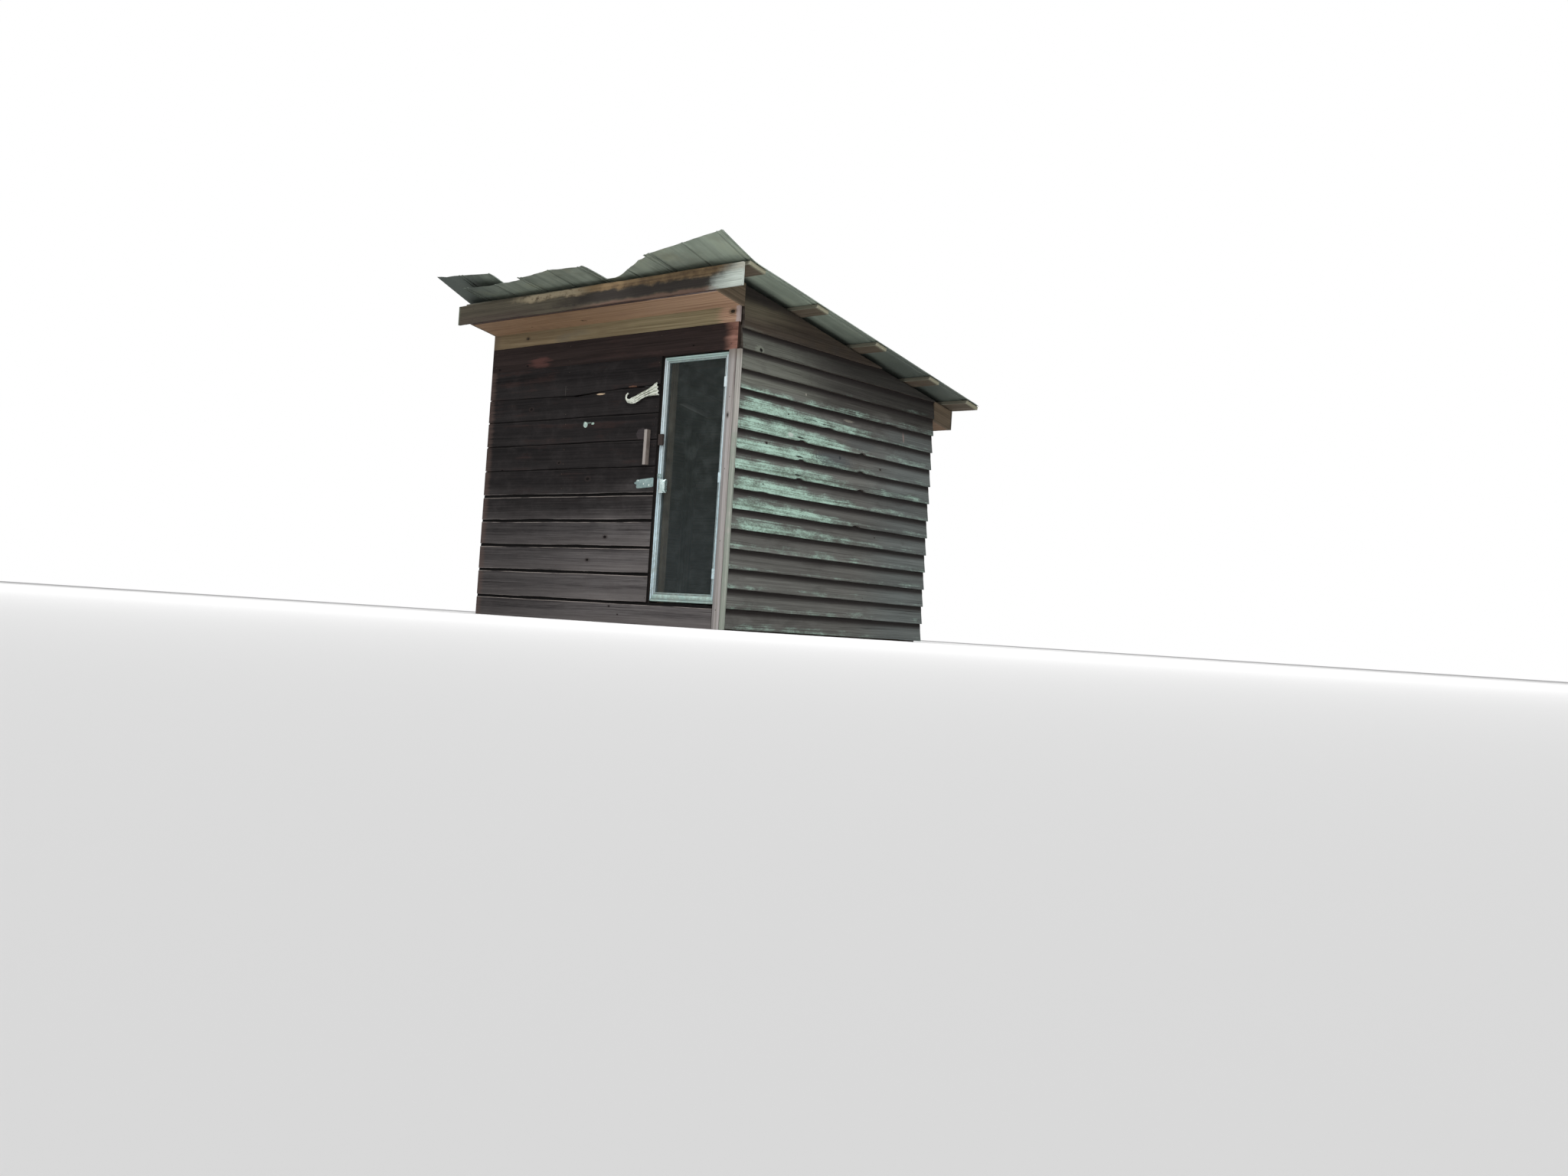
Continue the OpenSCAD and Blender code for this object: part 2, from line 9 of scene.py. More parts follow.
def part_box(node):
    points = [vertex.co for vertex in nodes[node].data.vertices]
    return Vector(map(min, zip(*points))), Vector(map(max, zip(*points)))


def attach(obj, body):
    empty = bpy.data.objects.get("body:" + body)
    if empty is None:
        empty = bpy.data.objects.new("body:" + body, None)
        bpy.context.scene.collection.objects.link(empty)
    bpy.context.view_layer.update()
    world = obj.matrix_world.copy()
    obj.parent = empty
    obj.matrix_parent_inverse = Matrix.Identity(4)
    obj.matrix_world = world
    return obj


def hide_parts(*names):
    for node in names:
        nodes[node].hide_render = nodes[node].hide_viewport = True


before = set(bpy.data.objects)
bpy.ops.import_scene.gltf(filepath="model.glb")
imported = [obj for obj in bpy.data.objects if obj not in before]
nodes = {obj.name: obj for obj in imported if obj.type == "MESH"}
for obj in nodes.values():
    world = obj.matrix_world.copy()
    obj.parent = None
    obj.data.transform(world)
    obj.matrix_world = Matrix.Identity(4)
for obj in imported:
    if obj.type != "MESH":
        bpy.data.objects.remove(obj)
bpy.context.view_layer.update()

# Framing: rough-sawn softwood sills, posts, studs, plates and rafters, nailed up and gone brown in the
# shade of the room. It shows through the doorway and past the ends of the boards.


class Tone:
    """A number, colour or vector in a material, so that its shading reads as sums."""

    def __init__(self, socket):
        self.socket = socket

    def through(self, kind, settings=None, inputs=None, out=0):
        node = self.socket.id_data.nodes.new(kind)
        for name, value in (settings or {}).items():
            setattr(node, name, value)
        for place, value in (inputs or {}).items():
            put(node.inputs[place], value)
        return Tone(node.outputs[out])

    def maths(self, operation, *others):
        return self.through("ShaderNodeMath", {"operation": operation},
                            dict(enumerate((self,) + others)))

    def __add__(self, other):
        return self.maths("ADD", other)

    def __mul__(self, other):
        return self.maths("MULTIPLY", other)

    def __sub__(self, other):
        return self.maths("SUBTRACT", other)

    def __rsub__(self, other):
        return self.through("ShaderNodeMath", {"operation": "SUBTRACT"}, {0: other, 1: self})

    def __truediv__(self, other):
        return self.maths("DIVIDE", other)

    def __pow__(self, other):
        return self.maths("POWER", other)

    __radd__, __rmul__ = __add__, __mul__

    def rise(self, low, high):
        """0 below low and 1 above high, or the other way round where low is the larger."""
        return self.through("ShaderNodeMapRange", {"interpolation_type": "SMOOTHSTEP"},
                            {0: self, 1: low, 2: high})

    def parts(self):
        node = self.through("ShaderNodeSeparateXYZ", None, {0: self}).socket.node
        return [Tone(s) for s in node.outputs]

    def stretched(self, by):
        return self.through("ShaderNodeVectorMath", {"operation": "MULTIPLY"}, {0: self, 1: by})

    def shifted(self, by):
        return self.through("ShaderNodeVectorMath", {"operation": "ADD"}, {0: self, 1: by})

    def noise(self, scale=1.0, detail=2.0, rough=0.5):
        return self.through("ShaderNodeTexNoise", None,
                            {"Vector": self, "Scale": scale, "Detail": detail, "Roughness": rough})

    def line_noise(self, detail=1.0):
        return self.through("ShaderNodeTexNoise", {"noise_dimensions": "1D"},
                            {"W": self, "Scale": 1.0, "Detail": detail})

    def paint(self, ground, coat):
        """The ground colour where this is 0, the coat where it is 1."""
        return self.through("ShaderNodeMix", {"data_type": "RGBA"}, {0: self, 6: ground, 7: coat}, 2)

    def bump(self, distance):
        return self.through("ShaderNodeBump", None, {"Distance": distance, "Height": self})


def put(socket, value):
    """Links a tone to a socket, or sets the socket to a plain value."""
    if isinstance(value, Tone):
        socket.id_data.links.new(value.socket, socket)
    elif hasattr(value, "__len__") and socket.type == "RGBA":
        socket.default_value = tuple(value) + (1.0,)
    else:
        socket.default_value = value


def blank(name):
    """A new material, its shader, and the place on the object in metres."""
    material = bpy.data.materials.new(name)
    material.use_nodes = True
    tree = material.node_tree
    place = Tone(tree.nodes.new("ShaderNodeTexCoord").outputs["Object"])
    return material, tree.nodes["Principled BSDF"], place


def dress(shader, finish):
    for name, value in finish.items():
        put(shader.inputs[name], value)


def corners(node):
    """The lowest and the highest corner of a node."""
    return [Vector(corner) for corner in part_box(node)]


def refinish(names, material):
    """Gives nodes that keep their own shape a better material."""
    for name in names:
        slots = nodes[name].material_slots
        if not len(slots):
            nodes[name].data.materials.append(material)
        for slot in slots:
            slot.material = material


def sawn_timber(name, axis, dark, pale, shaded=None):
    """Rough-sawn timber with its grain along x, y or z. shaded gives two places in x: painted shade makes the
    timber near black from the first almost to the second."""
    material, shader, place = blank(name)
    along = "xyz".index(axis)
    fine, broad = [230.0] * 3, [34.0] * 3
    fine[along], broad[along] = 5.0, 0.9
    fibres = place.stretched(fine).noise(1, 4, 0.65)
    bands = place.stretched(broad).noise(1, 3, 0.55)
    stain = place.noise(2.3, 4, 0.6)
    saw = place.parts()[along] * 260 + stain * 9
    marks = saw.maths("SINE") * 0.5 + 0.5
    colour = (fibres * 0.45 + bands * 0.55).rise(0.36, 0.64).paint(dark, pale)
    colour = (stain * 0.7 + fibres * 0.3).rise(0.52, 0.66).paint(colour, [0.45 * c for c in dark])
    if shaded:
        share = (place.parts()[0] - shaded[0]) / (shaded[1] - shaded[0])
        colour = share.rise(0.88, 0.96).paint([0.15 * c for c in dark], colour)
    relief = fibres * 0.5 + bands * 0.4 + marks * fibres * 0.35
    dress(shader, {"Base Color": colour, "Roughness": 0.95 - bands * 0.25, "Specular IOR Level": 0.3,
                   "Normal": relief.bump(0.002)})
    return material


brown_dark, brown_pale = (0.034, 0.024, 0.017), (0.092, 0.067, 0.048)
refinish(["front_sill", "back_sill", "front_plate", "back_plate"],
         sawn_timber("timber_across", "x", brown_dark, brown_pale))
refinish(["side_sills", "rafters"], sawn_timber("timber_deep", "y", brown_dark, brown_pale))
refinish(["left_front_post", "right_front_post", "back_posts", "wall_studs"],
         sawn_timber("timber_upright", "z", brown_dark, brown_pale))
weather_dark, weather_pale = (0.016, 0.012, 0.010), (0.046, 0.034, 0.028)
refinish(["door_lintel"], sawn_timber("lintel_timber", "x", weather_dark, weather_pale))
refinish(["door_stud"], sawn_timber("door_stud_timber", "z", weather_dark, weather_pale))
# The door stop gets painted shade: near black over its front face, all but its far edge.
low, high = corners("door_stop")
refinish(["door_stop"], sawn_timber("door_stop_timber", "z", (0.150, 0.118, 0.080), (0.330, 0.275, 0.200),
                                    (low.x, high.x)))

# Side and back walls: square-edged boards 19 mm thick, each lapped over the one below and nailed at its
# lower edge. Their faces have gone brown under the eaves and grey with pale green lichen lower down.
X, Y, Z = Vector((1, 0, 0)), Vector((0, 1, 0)), Vector((0, 0, 1))
pitch = math.radians(10.5)
slope = math.tan(pitch)
low, high = corners("right_siding")
wall_x1, wall_y0, wall_y1, wall_top = low.x, low.y, high.y, high.z
wall_span = wall_y1 - wall_y0
low, high = corners("left_siding")
left_y0, wall_x0 = low.y, high.x
low, high = corners("back_siding")
back_face, back_top = low.y, high.z
# The top board's lower edge, what each board shows, how far its lower edge stands out from the framing,
# and its thickness, width and lean
lap_line, lap_show, lap_d = 1.883, 0.125, 0.038
board_t, lap_w = 0.019, 0.145
lap_lean = 0.022 / lap_w
lap_rows = 16
# How far the right wall's boards are held back for the strip that covers their front ends
held_back = 0.020


def waver(s, amount, wave, draw):
    """Slow unevenness along a board."""
    turns = 2 * math.pi * s / wave
    return amount * sum(share * np.sin(k * turns + draw.uniform(0, 6.3))
                        for k, share in ((1, 0.6), (2.3, 0.3), (5.7, 0.2)))


def plank(at, along, across, through, length, shape, seed, sway=0.0012, knots=(), knot_rate=0.3,
          bites=(), low_edge=None, high_edge=None, step=0.014):
    """A board. shape(s) gives the corners of its section, going round, at the distance s along it, as
    (t across, r through, face), where face is 0 inside, 1 on the outer face and up to 2 in a groove. Knots
    are (s, t, radius), and bites out of the lower edge (s, half length, depth)."""
    draw = np.random.default_rng(seed)
    width = float(np.max(np.asarray(shape(0.0))[:, 0]))
    own = [(draw.uniform(0.04, max(0.05, length - 0.04)), draw.uniform(0.12, 0.88) * width,
            draw.uniform(0.003, 0.008)) for _ in range(draw.poisson(length * knot_rate))]
    own = own + list(knots) or [(9.0, 9.0, 0.01)]
    end_arris, edge_zone, off_ground = 0.0011, min(0.05, width / 2), 0.0004
    s = np.concatenate([np.linspace(0, length, max(4, round(length / step) + 1)),
                        [k[0] for k in own if 0.002 < k[0] < length - 0.002],
                        [0.0012, length - 0.0012]])
    s = np.unique(np.round(s, 5))
    rings = np.array([shape(v) for v in s])
    t, r, face = rings[..., 0].copy(), rings[..., 1].copy(), rings[..., 2]
    top = t.max(axis=1, keepdims=True)
    mid_t, mid_r = (t.min(axis=1, keepdims=True) + top) / 2, r.mean(axis=1, keepdims=True)
    for end in (0, -1):
        t[end] += np.clip(mid_t[end] - t[end], -end_arris, end_arris)
        r[end] += np.clip(mid_r[end] - r[end], -end_arris, end_arris)
    down = waver(s, sway, 1.1, draw) + draw.normal(0, sway * 0.12, len(s))
    for centre, half, depth in bites:
        down += depth * np.exp(-np.abs((s - centre) / half) ** 4)
    if low_edge:
        down += np.array([low_edge(v) for v in s])
    rise = waver(s, sway, 0.9, draw)
    if high_edge:
        rise += np.array([high_edge(v) for v in s])
    bulge = waver(s, 0.0006, 0.7, draw)
    t = (t + down[:, None] * np.clip(1 - t / edge_zone, 0, 1)
         + rise[:, None] * np.clip(1 - (top - t) / edge_zone, 0, 1))
    r = r + bulge[:, None] * face
    sp = np.repeat(s[:, None], t.shape[1], axis=1)
    points = (np.array(at)[None, None] + sp[..., None] * np.array(along) + t[..., None] * np.array(across)
              + r[..., None] * np.array(through))
    points[..., 2] = np.maximum(points[..., 2], off_ground)
    pith_t = draw.uniform(-0.2, 1.2) * width + draw.uniform(-0.012, 0.012) * s + waver(s, 0.002, 1.7, draw)
    pith_r = -draw.uniform(0.012, 0.08) + waver(s, 0.0015, 2.3, draw)
    grain = np.stack([sp + draw.uniform(0, 60), t - pith_t[:, None], r - pith_r[:, None]], -1)
    ks, kt, kr = (np.array(v) for v in zip(*own))
    nearest = np.argmin((sp[..., None] - ks) ** 2 + (t[..., None] - kt) ** 2, axis=-1)
    knot = np.stack([np.abs(sp - ks[nearest]), t - kt[nearest], kr[nearest]], -1)
    lot = np.full_like(t, draw.uniform(0, 1))
    sides = np.stack([t / width, face, lot], -1)
    reach = np.stack([sp, length - sp, t], -1)
    n, m = t.shape
    i, j = np.meshgrid(np.arange(n - 1), np.arange(m), indexing="ij")
    k = (j + 1) % m
    quads = np.stack([i * m + j, i * m + k, (i + 1) * m + k, (i + 1) * m + j], -1).reshape(-1, 4)
    caps = [list(range(m - 1, -1, -1)), list(range((n - 1) * m, n * m))]
    return {"points": points.reshape(-1, 3), "quads": quads, "caps": caps, "grain": grain.reshape(-1, 3),
            "knot": knot.reshape(-1, 3), "sides": sides.reshape(-1, 3), "reach": reach.reshape(-1, 3)}


def set_up(name, mesh, material, body, replaced=(), smooth=30):
    """Links a finished mesh as a piece that rides on a body."""
    if material:
        mesh.materials.append(material)
    mesh.polygons.foreach_set("use_smooth", [True] * len(mesh.polygons))
    mesh.set_sharp_from_angle(angle=math.radians(smooth))
    piece = bpy.data.objects.new(name, mesh)
    bpy.context.scene.collection.objects.link(piece)
    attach(piece, body)
    if replaced:
        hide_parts(*replaced)
    return piece


def pile(name, planks, material, body, replaced):
    """One piece out of several boards of the same finish."""
    faces, start = [], 0
    for p in planks:
        faces += (p["quads"] + start).tolist() + [[i + start for i in cap] for cap in p["caps"]]
        start += len(p["points"])
    mesh = bpy.data.meshes.new(name)
    mesh.from_pydata(np.concatenate([p["points"] for p in planks]).tolist(), [], faces)
    for key in ("grain", "knot", "sides", "reach"):
        values = np.concatenate([p[key] for p in planks]).astype(np.float32)
        mesh.attributes.new(key, "FLOAT_VECTOR", "POINT").data.foreach_set("vector", values.ravel())
    set_up(name, mesh, material, body, replaced)


def lap_board(height, lean, limit=None):
    """Section of a lapped board, its lower edge out and its top tucked in behind the board above."""
    steps = np.array([0.0, 0.006, 0.014, 0.026, 0.04, 0.055, 0.075, 0.1, 0.12, 0.14])
    arris, off_studs, hollow = 0.0018, 0.0006, 0.0005

    def shape(s):
        h = height if limit is None else max(0.004, min(height, limit(s)))
        if h < steps[-1]:
            ts = steps / steps[-1] * (h - 2 * arris) + arris
        else:
            ts = np.append(steps[:-1] + arris, h - arris)
        mid_in = max(off_studs, board_t - lean * h * 0.5) - hollow
        top_in, top_out = max(off_studs, board_t - lean * h), lap_d - lean * h
        return np.array([(0, board_t + arris, 0.0), (arris, board_t - hollow, 0.0), (h * 0.5, mid_in, 0.0),
                         (h, top_in, 0.0), (h, max(top_in + 0.002, top_out - arris), 0.6)]
                        + [(t, lap_d - lean * t, 1.0) for t in ts[::-1]]
                        + [(0, lap_d - arris, 1.0), (0, (lap_d + board_t) / 2, 0.5)])
    return shape


def lapped_wall(at, along, through, length, seed, top_at, bites=(), knots=()):
    """The boards of one wall from the top down. top_at(s) is the height they are cut off at, and each bite
    or knot starts with the number of its board."""
    planks = []
    for k in range(lap_rows):
        line = lap_line - k * lap_show
        base = max(line, 0.0)
        tall, lean = lap_w, lap_lean
        if k == 0:
            tall = max(top_at(0), top_at(length)) - line
            lean = board_t / tall
        tall -= base - line
        under_roof = [s for s in np.linspace(0, length, 400) if top_at(s) > line + 0.006]
        if not under_roof:
            continue
        first, last = float(under_roof[0]), float(under_roof[-1])
        cut = None
        if min(top_at(first), top_at(last)) < line + tall:
            cut = lambda s, first=first, line=line: top_at(first + s) - line
        planks.append(plank(Vector(at) + first * along + Z * base, along, Z, through, last - first,
                            lap_board(tall, lean, cut), seed + k, bites=[b[1:] for b in bites if b[0] == k],
                            knots=[b[1:] for b in knots if b[0] == k], sway=0.0016, knot_rate=0.12))
    return planks


def kept(shader, name):
    """The vector that each point of the mesh keeps under a name."""
    node = shader.id_data.nodes.new("ShaderNodeAttribute")
    node.attribute_name = name
    return Tone(node.outputs["Vector"])


def marks(shader):
    """A board's own coordinates: its growth rings, fibres, knots, and where each point is on it."""
    grain = kept(shader, "grain")
    _, off, deep = grain.parts()
    past, beside, size = kept(shader, "knot").parts()
    past = past * 0.6
    near = past * past + beside * beside
    off = off + beside * size * size / near.maths("MAXIMUM", size * size * 0.3)
    drift = grain.stretched((0.8, 5, 5)).noise(1, 2, 0.5)
    rings = ((off * off + deep * deep) ** 0.5 * 330 + drift * 2.5).line_noise(2)
    fibres = grain.stretched((4, 420, 420)).noise(1, 3, 0.65)
    streaks = grain.stretched((0.9, 90, 90)).noise(1, 3, 0.6)
    bands = grain.stretched((0.7, 24, 24)).noise(1, 3, 0.55)
    gap = near ** 0.5 / size
    up, face, lot = kept(shader, "sides").parts()
    start, end, _ = kept(shader, "reach").parts()
    return {"grain": grain, "rings": rings, "fibres": fibres, "streaks": streaks, "bands": bands,
            "core": gap.rise(1.1, 0.7), "halo": gap.rise(2.4, 1.0), "up": up, "face": face, "lot": lot,
            "start": start, "end": end}


def knotted(colour, m, share, ring, core):
    """Adds the knots: a core, and round it a share of the ring's colour."""
    colour = (m["halo"] * share).paint(colour, ring)
    return m["core"].paint(colour, core)


def weathered_laps(name, lichen_zone, seed_shift, scars=None):
    """Weathered brown-grey softwood. lichen_zone(y, z) is where lichen is thick on it, and scars adds
    the marks of one wall."""
    material, shader, place = blank(name)
    m = marks(shader)
    _, y, z = place.parts()
    moved = place.shifted((seed_shift, 0, 0))
    cloud = moved.stretched((1, 1, 2.4)).noise(2.4, 4, 0.62)
    clumps = moved.stretched((1, 1, 3.0)).noise(7, 4, 0.64)
    specks = moved.stretched((1, 1, 2.2)).noise(62, 4, 0.72)
    up = m["up"] + (m["bands"] - 0.5) * 0.12
    wood = (m["fibres"] * 0.32 + m["rings"] * 0.13 + m["streaks"] * 0.3 + m["bands"] * 0.25).rise(0.33, 0.67)
    brown = wood.paint((0.032, 0.025, 0.019), (0.085, 0.066, 0.050))
    # Painted shade: the olive upper courses are darker towards the back, under the roof.
    olive = y.rise(-0.50, 0.10).paint(wood.paint((0.064, 0.066, 0.054), (0.165, 0.172, 0.148)),
                                      wood.paint((0.022, 0.021, 0.019), (0.066, 0.064, 0.056)))
    grey = wood.paint((0.052, 0.051, 0.047), (0.148, 0.149, 0.137))
    colour = (z + (cloud - 0.5) * 0.22).rise(1.47, 1.58).paint(grey, olive)
    colour = (z + (cloud - 0.5) * 0.10).rise(1.84, 1.90).paint(colour, brown)
    # Painted light: the top board is made paler towards the front, against the shade under the roof.
    colour = (z.rise(1.90, 2.02) * y.rise(-0.30, -0.85) * 0.8).paint(
        colour, wood.paint((0.080, 0.070, 0.048), (0.210, 0.185, 0.130)))
    if scars:
        colour = (y.rise(0.25, 0.85) * z.rise(1.56, 1.44) * 0.65).paint(
            colour, wood.paint((0.062, 0.074, 0.073), (0.145, 0.170, 0.168)))
    colour = (m["lot"] * 0.3 + cloud.rise(0.50, 0.66) * 0.4).paint(colour, (0.048, 0.044, 0.041))
    zone = lichen_zone(y, z)
    cover = (specks * 0.16 + clumps * 0.46 + cloud * 0.46 + m["streaks"] * 0.36 + zone * 0.38
             + up.rise(0.72, 0.08) * 0.40 - z.rise(1.60, 1.75) * 0.3).rise(1.07, 1.42) * m["face"]
    lichen = (specks * 0.35 + m["streaks"] * 0.35 + clumps * 0.30).rise(0.40, 0.60).paint(
        (0.120, 0.160, 0.128), (0.350, 0.510, 0.430))
    colour = (cover * 0.94).paint(colour, lichen)
    if scars:
        colour = scars(colour, y, z, specks)
    # Painted shade under each lap: the top of each board, under the lower edge of the one above, goes near
    # black.
    colour = (up.rise(0.48, 0.74) * 0.90).paint(colour, (0.018, 0.0145, 0.014))
    colour = knotted(colour, m, 0.25, (0.05, 0.036, 0.027), (0.016, 0.012, 0.011))
    split = m["grain"].stretched((1.0, 120, 120)).noise(1, 2, 0.5).rise(0.72, 0.76)
    colour = (split * 0.8).paint(colour, (0.014, 0.012, 0.011))
    inner = m["face"].rise(0.5, 0.1)
    colour = inner.paint(colour, wood.paint((0.05, 0.036, 0.026), (0.15, 0.11, 0.078)))
    end_grain = clumps.rise(0.40, 0.60).paint((0.026, 0.020, 0.016), (0.060, 0.050, 0.042))
    colour = (m["start"].rise(0.0035, 0.0012) * (1 - specks.rise(0.60, 0.70) * 0.6)).paint(colour, end_grain)
    relief = (m["rings"] * 0.2 + m["fibres"] * 0.5 + m["streaks"] * 0.35 - split * 1.2 - m["core"] * 0.6
              + cover * 0.4)
    dress(shader, {"Base Color": colour, "Roughness": 0.98 - wood * 0.15, "Specular IOR Level": 0.15,
                   "Normal": relief.bump(0.0013)})
    return material


def right_zone(y, z):
    """The right wall's lichen is thickest between 0.8 and 1.5 m up, towards the front."""
    between = z.rise(1.55, 1.46) * z.rise(0.45, 0.80)
    return between * (y.rise(0.45, -0.50) * 0.9 + 0.1) * (y.rise(-0.95, -0.84) * 0.35 + 0.65)


def plain_zone(y, z):
    """The other walls have a little of it, below 1.5 m."""
    return z.rise(1.50, 1.30) * 0.12


def spot(across, up, centre, half, wear, rim):
    """1 inside an oval on a wall and 0 outside it, with the rim worn by a tone."""
    da, du = (across - centre[0]) / half[0], (up - centre[1]) / half[1]
    return ((da * da + du * du) ** 0.5 + wear).rise(*rim)


def right_scars(colour, y, z, specks):
    """A knot hole painted dark as shade inside a pale ring of painted highlight, painted shade in the hollows
    over the lower edges, grey stains and pale scars.
    """
    # hollow is painted shade in the knot hole and in the notches and cracks over the lower edges.
    hollow = (0.010, 0.009, 0.008)
    for cy, cz, ry, rz, ragged, share, tint in (
            (-0.784, 1.775, 0.040, 0.026, 0.9, 0.6, (0.170, 0.185, 0.150)),
            (-0.772, 1.773, 0.014, 0.013, 0.3, 1.0, (0.006, 0.005, 0.005)),
            (-0.331, 1.281, 0.036, 0.0055, 0.6, 0.95, hollow),
            (-0.333, 1.157, 0.038, 0.0060, 0.6, 0.95, hollow),
            (-0.335, 1.037, 0.034, 0.0055, 0.6, 0.95, hollow),
            (-0.243, 1.412, 0.090, 0.0030, 0.9, 0.95, hollow),
            (-0.060, 1.403, 0.070, 0.0025, 0.9, 0.90, hollow),
            (0.102, 1.207, 0.013, 0.012, 0.4, 0.95, hollow),
            (0.030, 1.185, 0.190, 0.055, 1.2, 0.55, (0.050, 0.060, 0.066)),
            (0.330, 1.330, 0.160, 0.045, 1.2, 0.45, (0.060, 0.070, 0.072)),
            (0.808, 1.447, 0.010, 0.040, 0.5, 0.70, (0.215, 0.160, 0.145)),
            (0.174, 1.467, 0.055, 0.009, 0.9, 0.75, (0.230, 0.220, 0.185)),
            (-0.432, 1.287, 0.024, 0.016, 0.9, 0.80, (0.400, 0.440, 0.410)),
            (-0.297, 1.570, 0.008, 0.008, 0.4, 0.80, (0.230, 0.215, 0.185))):
        where = spot(y, z, (cy, cz), (ry, rz), (specks - 0.5) * ragged * 2, (1.2, 0.7))
        colour = (where * share).paint(colour, tint)
    return colour


def lap_pile(name, planks, wood, node):
    pile(name, planks, wood, "building", [node])


# Bites as (board, place, half length, depth), and a knot as (board, place, height, radius)
right_bites = [(k, s, 0.034, 0.011)
               for k, s in ((5, 0.636), (5, 1.284), (6, 0.64), (6, 1.28), (7, 0.63), (7, 1.29), (9, 1.26))]
right_bites += [(4, 0.91, 0.05, 0.006), (8, 0.28, 0.04, 0.005), (3, 1.60, 0.06, 0.005)]
right_knots = [(6, 1.50, 0.05, 0.007)]
lap_pile("right_lap_boards",
         lapped_wall((wall_x1, wall_y0 + held_back, 0), Y, X, wall_span - held_back, 100,
                     lambda s: wall_top - (s + held_back) * slope, right_bites, right_knots),
         weathered_laps("lap_boards_right", right_zone, 0.0, right_scars), "right_siding")
lap_pile("left_lap_boards",
         lapped_wall((wall_x0, wall_y1, 0), -Y, -X, wall_y1 - left_y0, 140,
                     lambda s: wall_top - (wall_span - s) * slope),
         weathered_laps("lap_boards_left", plain_zone, 7.3), "left_siding")
lap_pile("back_lap_boards",
         lapped_wall((wall_x1, back_face, 0), -X, Y, wall_x1 - wall_x0, 180, lambda s: back_top),
         weathered_laps("lap_boards_back", plain_zone, 13.1), "back_siding")

# Cheeks that close the ends of the boxed eaves: planed boards cut to the slope and nailed to the end
# rafters. The front ones run on to meet the top side boards.


def square_board(width, depth, arris=0.0014, columns=7):
    """Section of a square-edged board, whose outer face (the far one) shows."""
    ts = np.linspace(arris, width - arris, columns)
    ring = ([(0, arris, 0.3), (arris, 0, 0.0), (width / 2, 0, 0.0), (width - arris, 0, 0.0),
             (width, arris, 0.3), (width, depth - arris, 0.8)] + [(t, depth, 1.0) for t in ts[::-1]]
            + [(0, depth - arris, 0.8)])
    ring = np.array(ring)
    return lambda s: ring


def sheltered_board(name, dark, pale, stain, stain_share=0.5, zones=None, seed_shift=0.0, gloss=0.25):
    """Planed softwood kept dry under the roof. zones(colour, m, place, cloud) adds one board's marks."""
    material, shader, place = blank(name)
    m = marks(shader)
    moved = place.shifted((seed_shift, 0, 0))
    cloud = moved.stretched((0.7, 1, 2.2)).noise(4.5, 4, 0.6)
    wood = (m["fibres"] * 0.28 + m["rings"] * 0.2 + m["streaks"] * 0.27 + m["bands"] * 0.25).rise(0.34, 0.66)
    colour = wood.paint(dark, pale)
    colour = ((cloud * 0.8 + m["streaks"] * 0.3).rise(0.56, 0.74) * stain_share).paint(colour, stain)
    if zones:
        colour = zones(colour, m, place, cloud)
    colour = knotted(colour, m, 0.6, [0.5 * c for c in dark], [0.22 * c for c in dark])
    relief = m["rings"] * 0.3 + m["fibres"] * 0.4 + m["streaks"] * 0.25 - m["core"] * 0.4
    dress(shader, {"Base Color": colour, "Roughness": 0.9 - wood * 0.15, "Specular IOR Level": gloss,
                   "Normal": relief.bump(0.0009)})
    return material


def slope_cheeks(name, node, seed, run_on=0.0):
    low, high = corners(node)
    height = high.z - low.z - (high.y - low.y) * slope
    high.y += run_on
    low.z -= run_on * slope
    span = high.y - low.y
    rise_over = span * slope
    section = square_board(height, board_t)
    right = plank((high.x - board_t, low.y, low.z + rise_over), Vector((0, 1, -slope)), Z, X, span, section,
                  seed, knot_rate=2)
    left = plank((low.x + board_t, high.y, low.z), Vector((0, -1, slope)), Z, -X, span, section, seed + 1,
                 knot_rate=2)
    material = sheltered_board(name + "_wood", (0.065, 0.049, 0.034), (0.185, 0.140, 0.092),
                               (0.075, 0.070, 0.052), 0.7, None, seed)
    pile(name, [right, left], material, "building", [node])


slope_cheeks("front_eave_cheeks", "front_cheeks", 220, held_back)
slope_cheeks("back_eave_cheeks", "back_cheeks", 230)

# Front wall, up to the frieze: boards with a cove along the top edge of all but the highest, nailed
# level over the framing. They are near black with old stain under the eave, and silvered low down.
low, high = corners("front_siding")
front_y, front_t, groove_d = high.y, high.y - low.y, 0.008
front_x0, front_x1, doorway_top = low.x, high.x, high.z
# The seams from the top down, and the width of the grooves above and below a height
front_lines = [doorway_top, 1.561, 1.386, 1.211, 1.036, 0.861, 0.686, 0.511, 0.336, 0.147]
narrow_groove, wide_groove, narrow_above = 0.009, 0.020, 0.80


